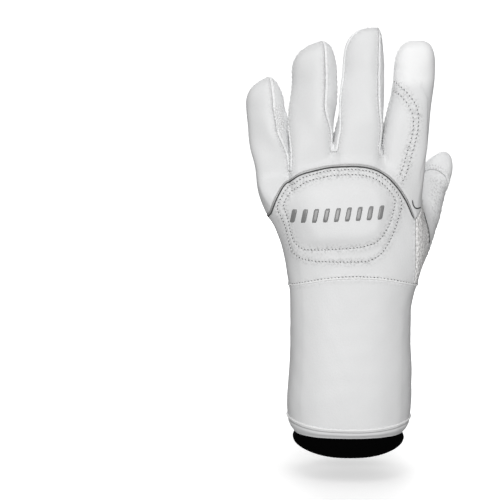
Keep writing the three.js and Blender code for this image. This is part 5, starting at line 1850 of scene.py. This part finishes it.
class Finishes:
    """All the finishes, built once."""

    def __init__(self) -> None:
        """Build each material."""
        self.leather = LeatherFinish("white leather", 0.82, 950, 0.16).build()
        # The thumb's leather, the side walls' leather and the pebbled thumb tip are lighter copies of the white
        # leather: painted light that makes up for the shade falling on them.
        self.thumb_leather = LeatherFinish("thumb leather", 0.95, 950, 0.16).build()
        self.side_leather = LeatherFinish("side leather", 0.93, 950, 0.16, roughness=0.58).build()
        self.pebbled = LeatherFinish("pebbled white leather", 0.97, 620, 0.4, roughness=0.6).build()
        self.suede = SuedeFinish("grey suede", 0.6).build()
        self.grip = SuedeFinish("grip suede", 0.58, groove_tone=0.16, sheen=0.2).build()
        self.gusset = StretchFinish("stretch fabric", 0.92).build()
        self.reflective = ReflectiveFinish("reflective film", 0.27).build()
        self.piping = ReflectiveFinish("reflective piping", 0.44).build()
        # a dark cord: painted shade under the piping and in the thumb's fold; it also colours the thumb's tack
        self.binding = ThreadFinish("dark binding", 0.06).build()
        self.fleece = FleeceFinish("black fleece", 0.0008).build()
        self.thread = ThreadFinish("white thread", 0.86).build()
        # needle holes: dark discs of painted shade
        self.hole = ThreadFinish("needle hole", 0.08).build()
        # a lighter copy of the leather: painted highlight, so the corded welts read as lit white ridges
        self.welt = ThreadFinish("corded leather", 0.97, 500).build()


# The studio


@dataclass(frozen=True)
class Studio:
    """Camera, pale floor and soft lights."""

    target: tuple[float, float, float] = (-0.067, 0.0, 0.134)
    distance: float = 1.1
    elevation: float = 8.0
    focal_pixels: float = 1642.0
    floor_z: float = -0.0172
    floor_glow: tuple[float, float] = (0.44, 0.9)  # painted glow of the floor, near the glove and far from it
    glow_reach: tuple[float, float] = (0.022, 0.115)  # metres from the glove's middle
    surround: float = 0.235
    lights: tuple[tuple[str, tuple[float, float, float], float], ...] = (  # name, place, power
        ("key", (-0.16, -1.7, 0.45), 21.6),
        ("top", (-0.1, 0.1, 1.6), 6.8),
        ("back", (-0.2, 1.6, 0.7), 10),
    )
    light_size: float = 0.9
    sensor: float = 36
    width: int = 500  # the picture's, in pixels

    def camera(self) -> None:
        """Set the camera at the photo's angle: level with the hand, looking a little down."""
        tilt = math.radians(self.elevation)
        data = bpy.data.cameras.new("camera")
        data.sensor_width = self.sensor
        data.lens = self.focal_pixels / self.width * self.sensor
        camera = link("camera", data)
        x, y, z = self.target
        camera.location = (x, y - self.distance * math.cos(tilt), z + self.distance * math.sin(tilt))
        camera.rotation_euler = (math.pi / 2 - tilt, 0, 0)
        bpy.context.scene.camera = camera

    def floor(self) -> None:
        """Lay a round pale floor that bends up into a wall and closes overhead.

        It is a profile turned about Z: a line, a quarter circle, and a quarter ellipse up to the pole. It glows:
        painted light.
        """
        bend = np.linspace(0, math.pi / 2, 24)
        reach = np.concatenate([[400, 1200], 1800 + 500 * np.sin(bend), 2300 * np.cos(bend[1:-1])])
        wall_rise, roof_rise = 500 - 500 * np.cos(bend), 500 + 1900 * np.sin(bend[1:-1])
        rise = np.concatenate([[0, 0], wall_rise, roof_rise]) + self.floor_z / MM
        sides = 96
        angle = turns(sides)
        rings = [reach[:, None] * np.cos(angle), reach[:, None] * np.sin(angle), rise[:, None] + 0 * angle]
        points = np.stack(rings, axis=-1)
        poles = np.array([[0, 0, rise[0]], [0, 0, 2400 + self.floor_z / MM]])
        numbers = np.arange(points.size // 3).reshape(len(reach), sides)
        low, high = np.full((2, sides), points.size // 3) + [[0], [1]]
        fans = [
            np.stack([numbers[0], np.roll(numbers[0], -1), low], axis=1),
            np.stack([np.roll(numbers[-1], -1), numbers[-1], high], axis=1),
        ]
        points = np.concatenate([points.reshape(-1, 3), poles])
        piece = new_mesh("studio_floor", points, grid_faces(numbers, True)[:, ::-1], np.concatenate(fans))
        g = Graph("studio paper")
        shade = g.noise(g.place(), 2, 1)
        centre = {0: g.place((1, 0.4, 0)), 1: (-0.008, 0, 0)}
        away = g.value("ShaderNodeVectorMath", {"operation": "DISTANCE"}, centre, "Value")
        # painted light: the floor glows less near the glove, so the glove's shadow shows there, and more away
        # from it
        painted_glow = g.blend(*map(grey, self.floor_glow), g.step(away, *self.glow_reach, 0.0, 1.0))
        g.surface(
            {"Specular IOR Level": 0.0, "Emission Strength": 1.0, "Roughness": 0.9},
            {"Base Color": g.blend(grey(0.78), grey(0.8), shade), "Emission Color": painted_glow},
            (shade, 0.0, 0.001),
        )
        piece.data.materials.append(g.material)
        piece.visible_diffuse = piece.visible_glossy = piece.visible_shadow = False

    def light(self, name: str, place: tuple[float, float, float], power: float) -> None:
        """Hang a square soft light that faces the glove."""
        data = bpy.data.lights.new(name, "AREA")
        data.size = self.light_size
        data.energy = power
        lamp = link(name, data)
        lamp.location = place
        lamp.rotation_euler = (Vector((0, 0, 0.13)) - Vector(place)).to_track_quat("-Z", "Y").to_euler()

    def build(self) -> None:
        """Set the camera, the floor, the lights and a white surround."""
        self.camera()
        self.floor()
        for light in self.lights:
            self.light(*light)
        world = bpy.data.worlds.new("surround")
        world.use_nodes = True
        background = world.node_tree.nodes["Background"]
        background.inputs[0].default_value = (1, 1, 1, 1)
        background.inputs[1].default_value = self.surround
        bpy.context.scene.world = world
        bpy.context.scene.view_settings.view_transform = "Standard"


@dataclass
class WinterGlove:
    """The whole glove."""

    finishes: Finishes
    pads: tuple[GripPad, ...] = (
        GripPad(
            "thenar_grip", "thenar_pad",
            ((29.9, 166.6), (33.3, 152), (30, 142.7), (18.4, 129.7), (6.5, 121.5), (0.4, 121), (-2, 126),
             (0, 139.4), (4.2, 158.8), (9, 171), (17, 176), (25.2, 173)),
            (-30, 240), 12,
        ),
        GripPad(
            "heel_grip", "heel_pad",
            ((-6.4, 157), (-7.4, 136), (-10.4, 125.5), (-15.9, 121.5), (-22.2, 121.5), (-27, 125.2),
             (-33.4, 134), (-37.6, 149), (-36, 159), (-26, 163), (-13, 162)),
            (-27.6, 128), 12,
        ),
    )

    def build(self) -> None:
        """Build the skin, sew it, cut it into panels and add all that lies on it."""
        net = SkinNet()
        net.build()
        skin = Skin(net)
        LOG.info("skin: %d points", len(skin.points))
        sewing = Sewing(skin)
        sewing.apply()
        Shell(skin).build(self.finishes)
        trim = Trim(skin, sewing)
        trim.piping(self.finishes.piping, self.finishes.binding)
        trim.fold_line(self.finishes.binding)
        trim.welt("wrist_cord", "wrist_welt", self.finishes.welt, 0.7, *WRIST_SEAM)
        trim.welt("hem_cord", "hem_welt", self.finishes.welt, 0.45, HEM_SEAM)
        trim.bars(self.finishes.reflective)
        edges = [pad.build(skin, self.finishes.grip) for pad in self.pads]
        InnerCuff(net.body).build(self.finishes.fleece)
        self.sew(skin, sewing, trim, edges)

    def sew(self, skin: Skin, sewing: Sewing, trim: Trim, edges: list[tuple[Array, Array]]) -> None:
        """Lay every visible row of stitches."""
        thread, hole = self.finishes.thread, self.finishes.hole
        rows = Stitches(skin)
        loops = [np.concatenate([loop, loop[:1]]) for loop in (sewing.outer_loop, sewing.inner_loop)]
        loose = Stitches(skin, length=1.4, gap=0.95)
        loose.sew("cushion", [skin.drop(loop, Face.BACK) for loop in loops], thread, hole)
        lines = [skin.drop(line, Face.BACK) for line in (sewing.index_outer, sewing.index_inner)]
        Stitches(skin, length=1.6, gap=1.1).sew("index", lines, thread, hole)
        wrist = trim.ring_path(*WRIST_SEAM)
        loose.sew("wrist", [rows.beside(wrist, skin.settle(wrist)[1], 1.15)], thread, hole)
        rows.sew("pad", edges, thread, hole)
        rows.sew("finger", [rows.back_row(trim.crotch_path(number)) for number in range(3)], thread)
        axis = unit(np.array([0.35, 0.55, 0.76]))
        cap = trim.ring_path(*CAP_SEAM, axis=axis)
        normal = skin.settle(cap)[1]
        rows.sew("thumb", [rows.beside(cap, normal, shift) for shift in (1.3, 3.0)], thread)


def main() -> None:
    """Build the studio and the glove."""
    logging.basicConfig(level=logging.INFO, format="%(name)s %(message)s")
    Studio().build()
    WinterGlove(Finishes()).build()


if __name__ == "__main__":
    main()
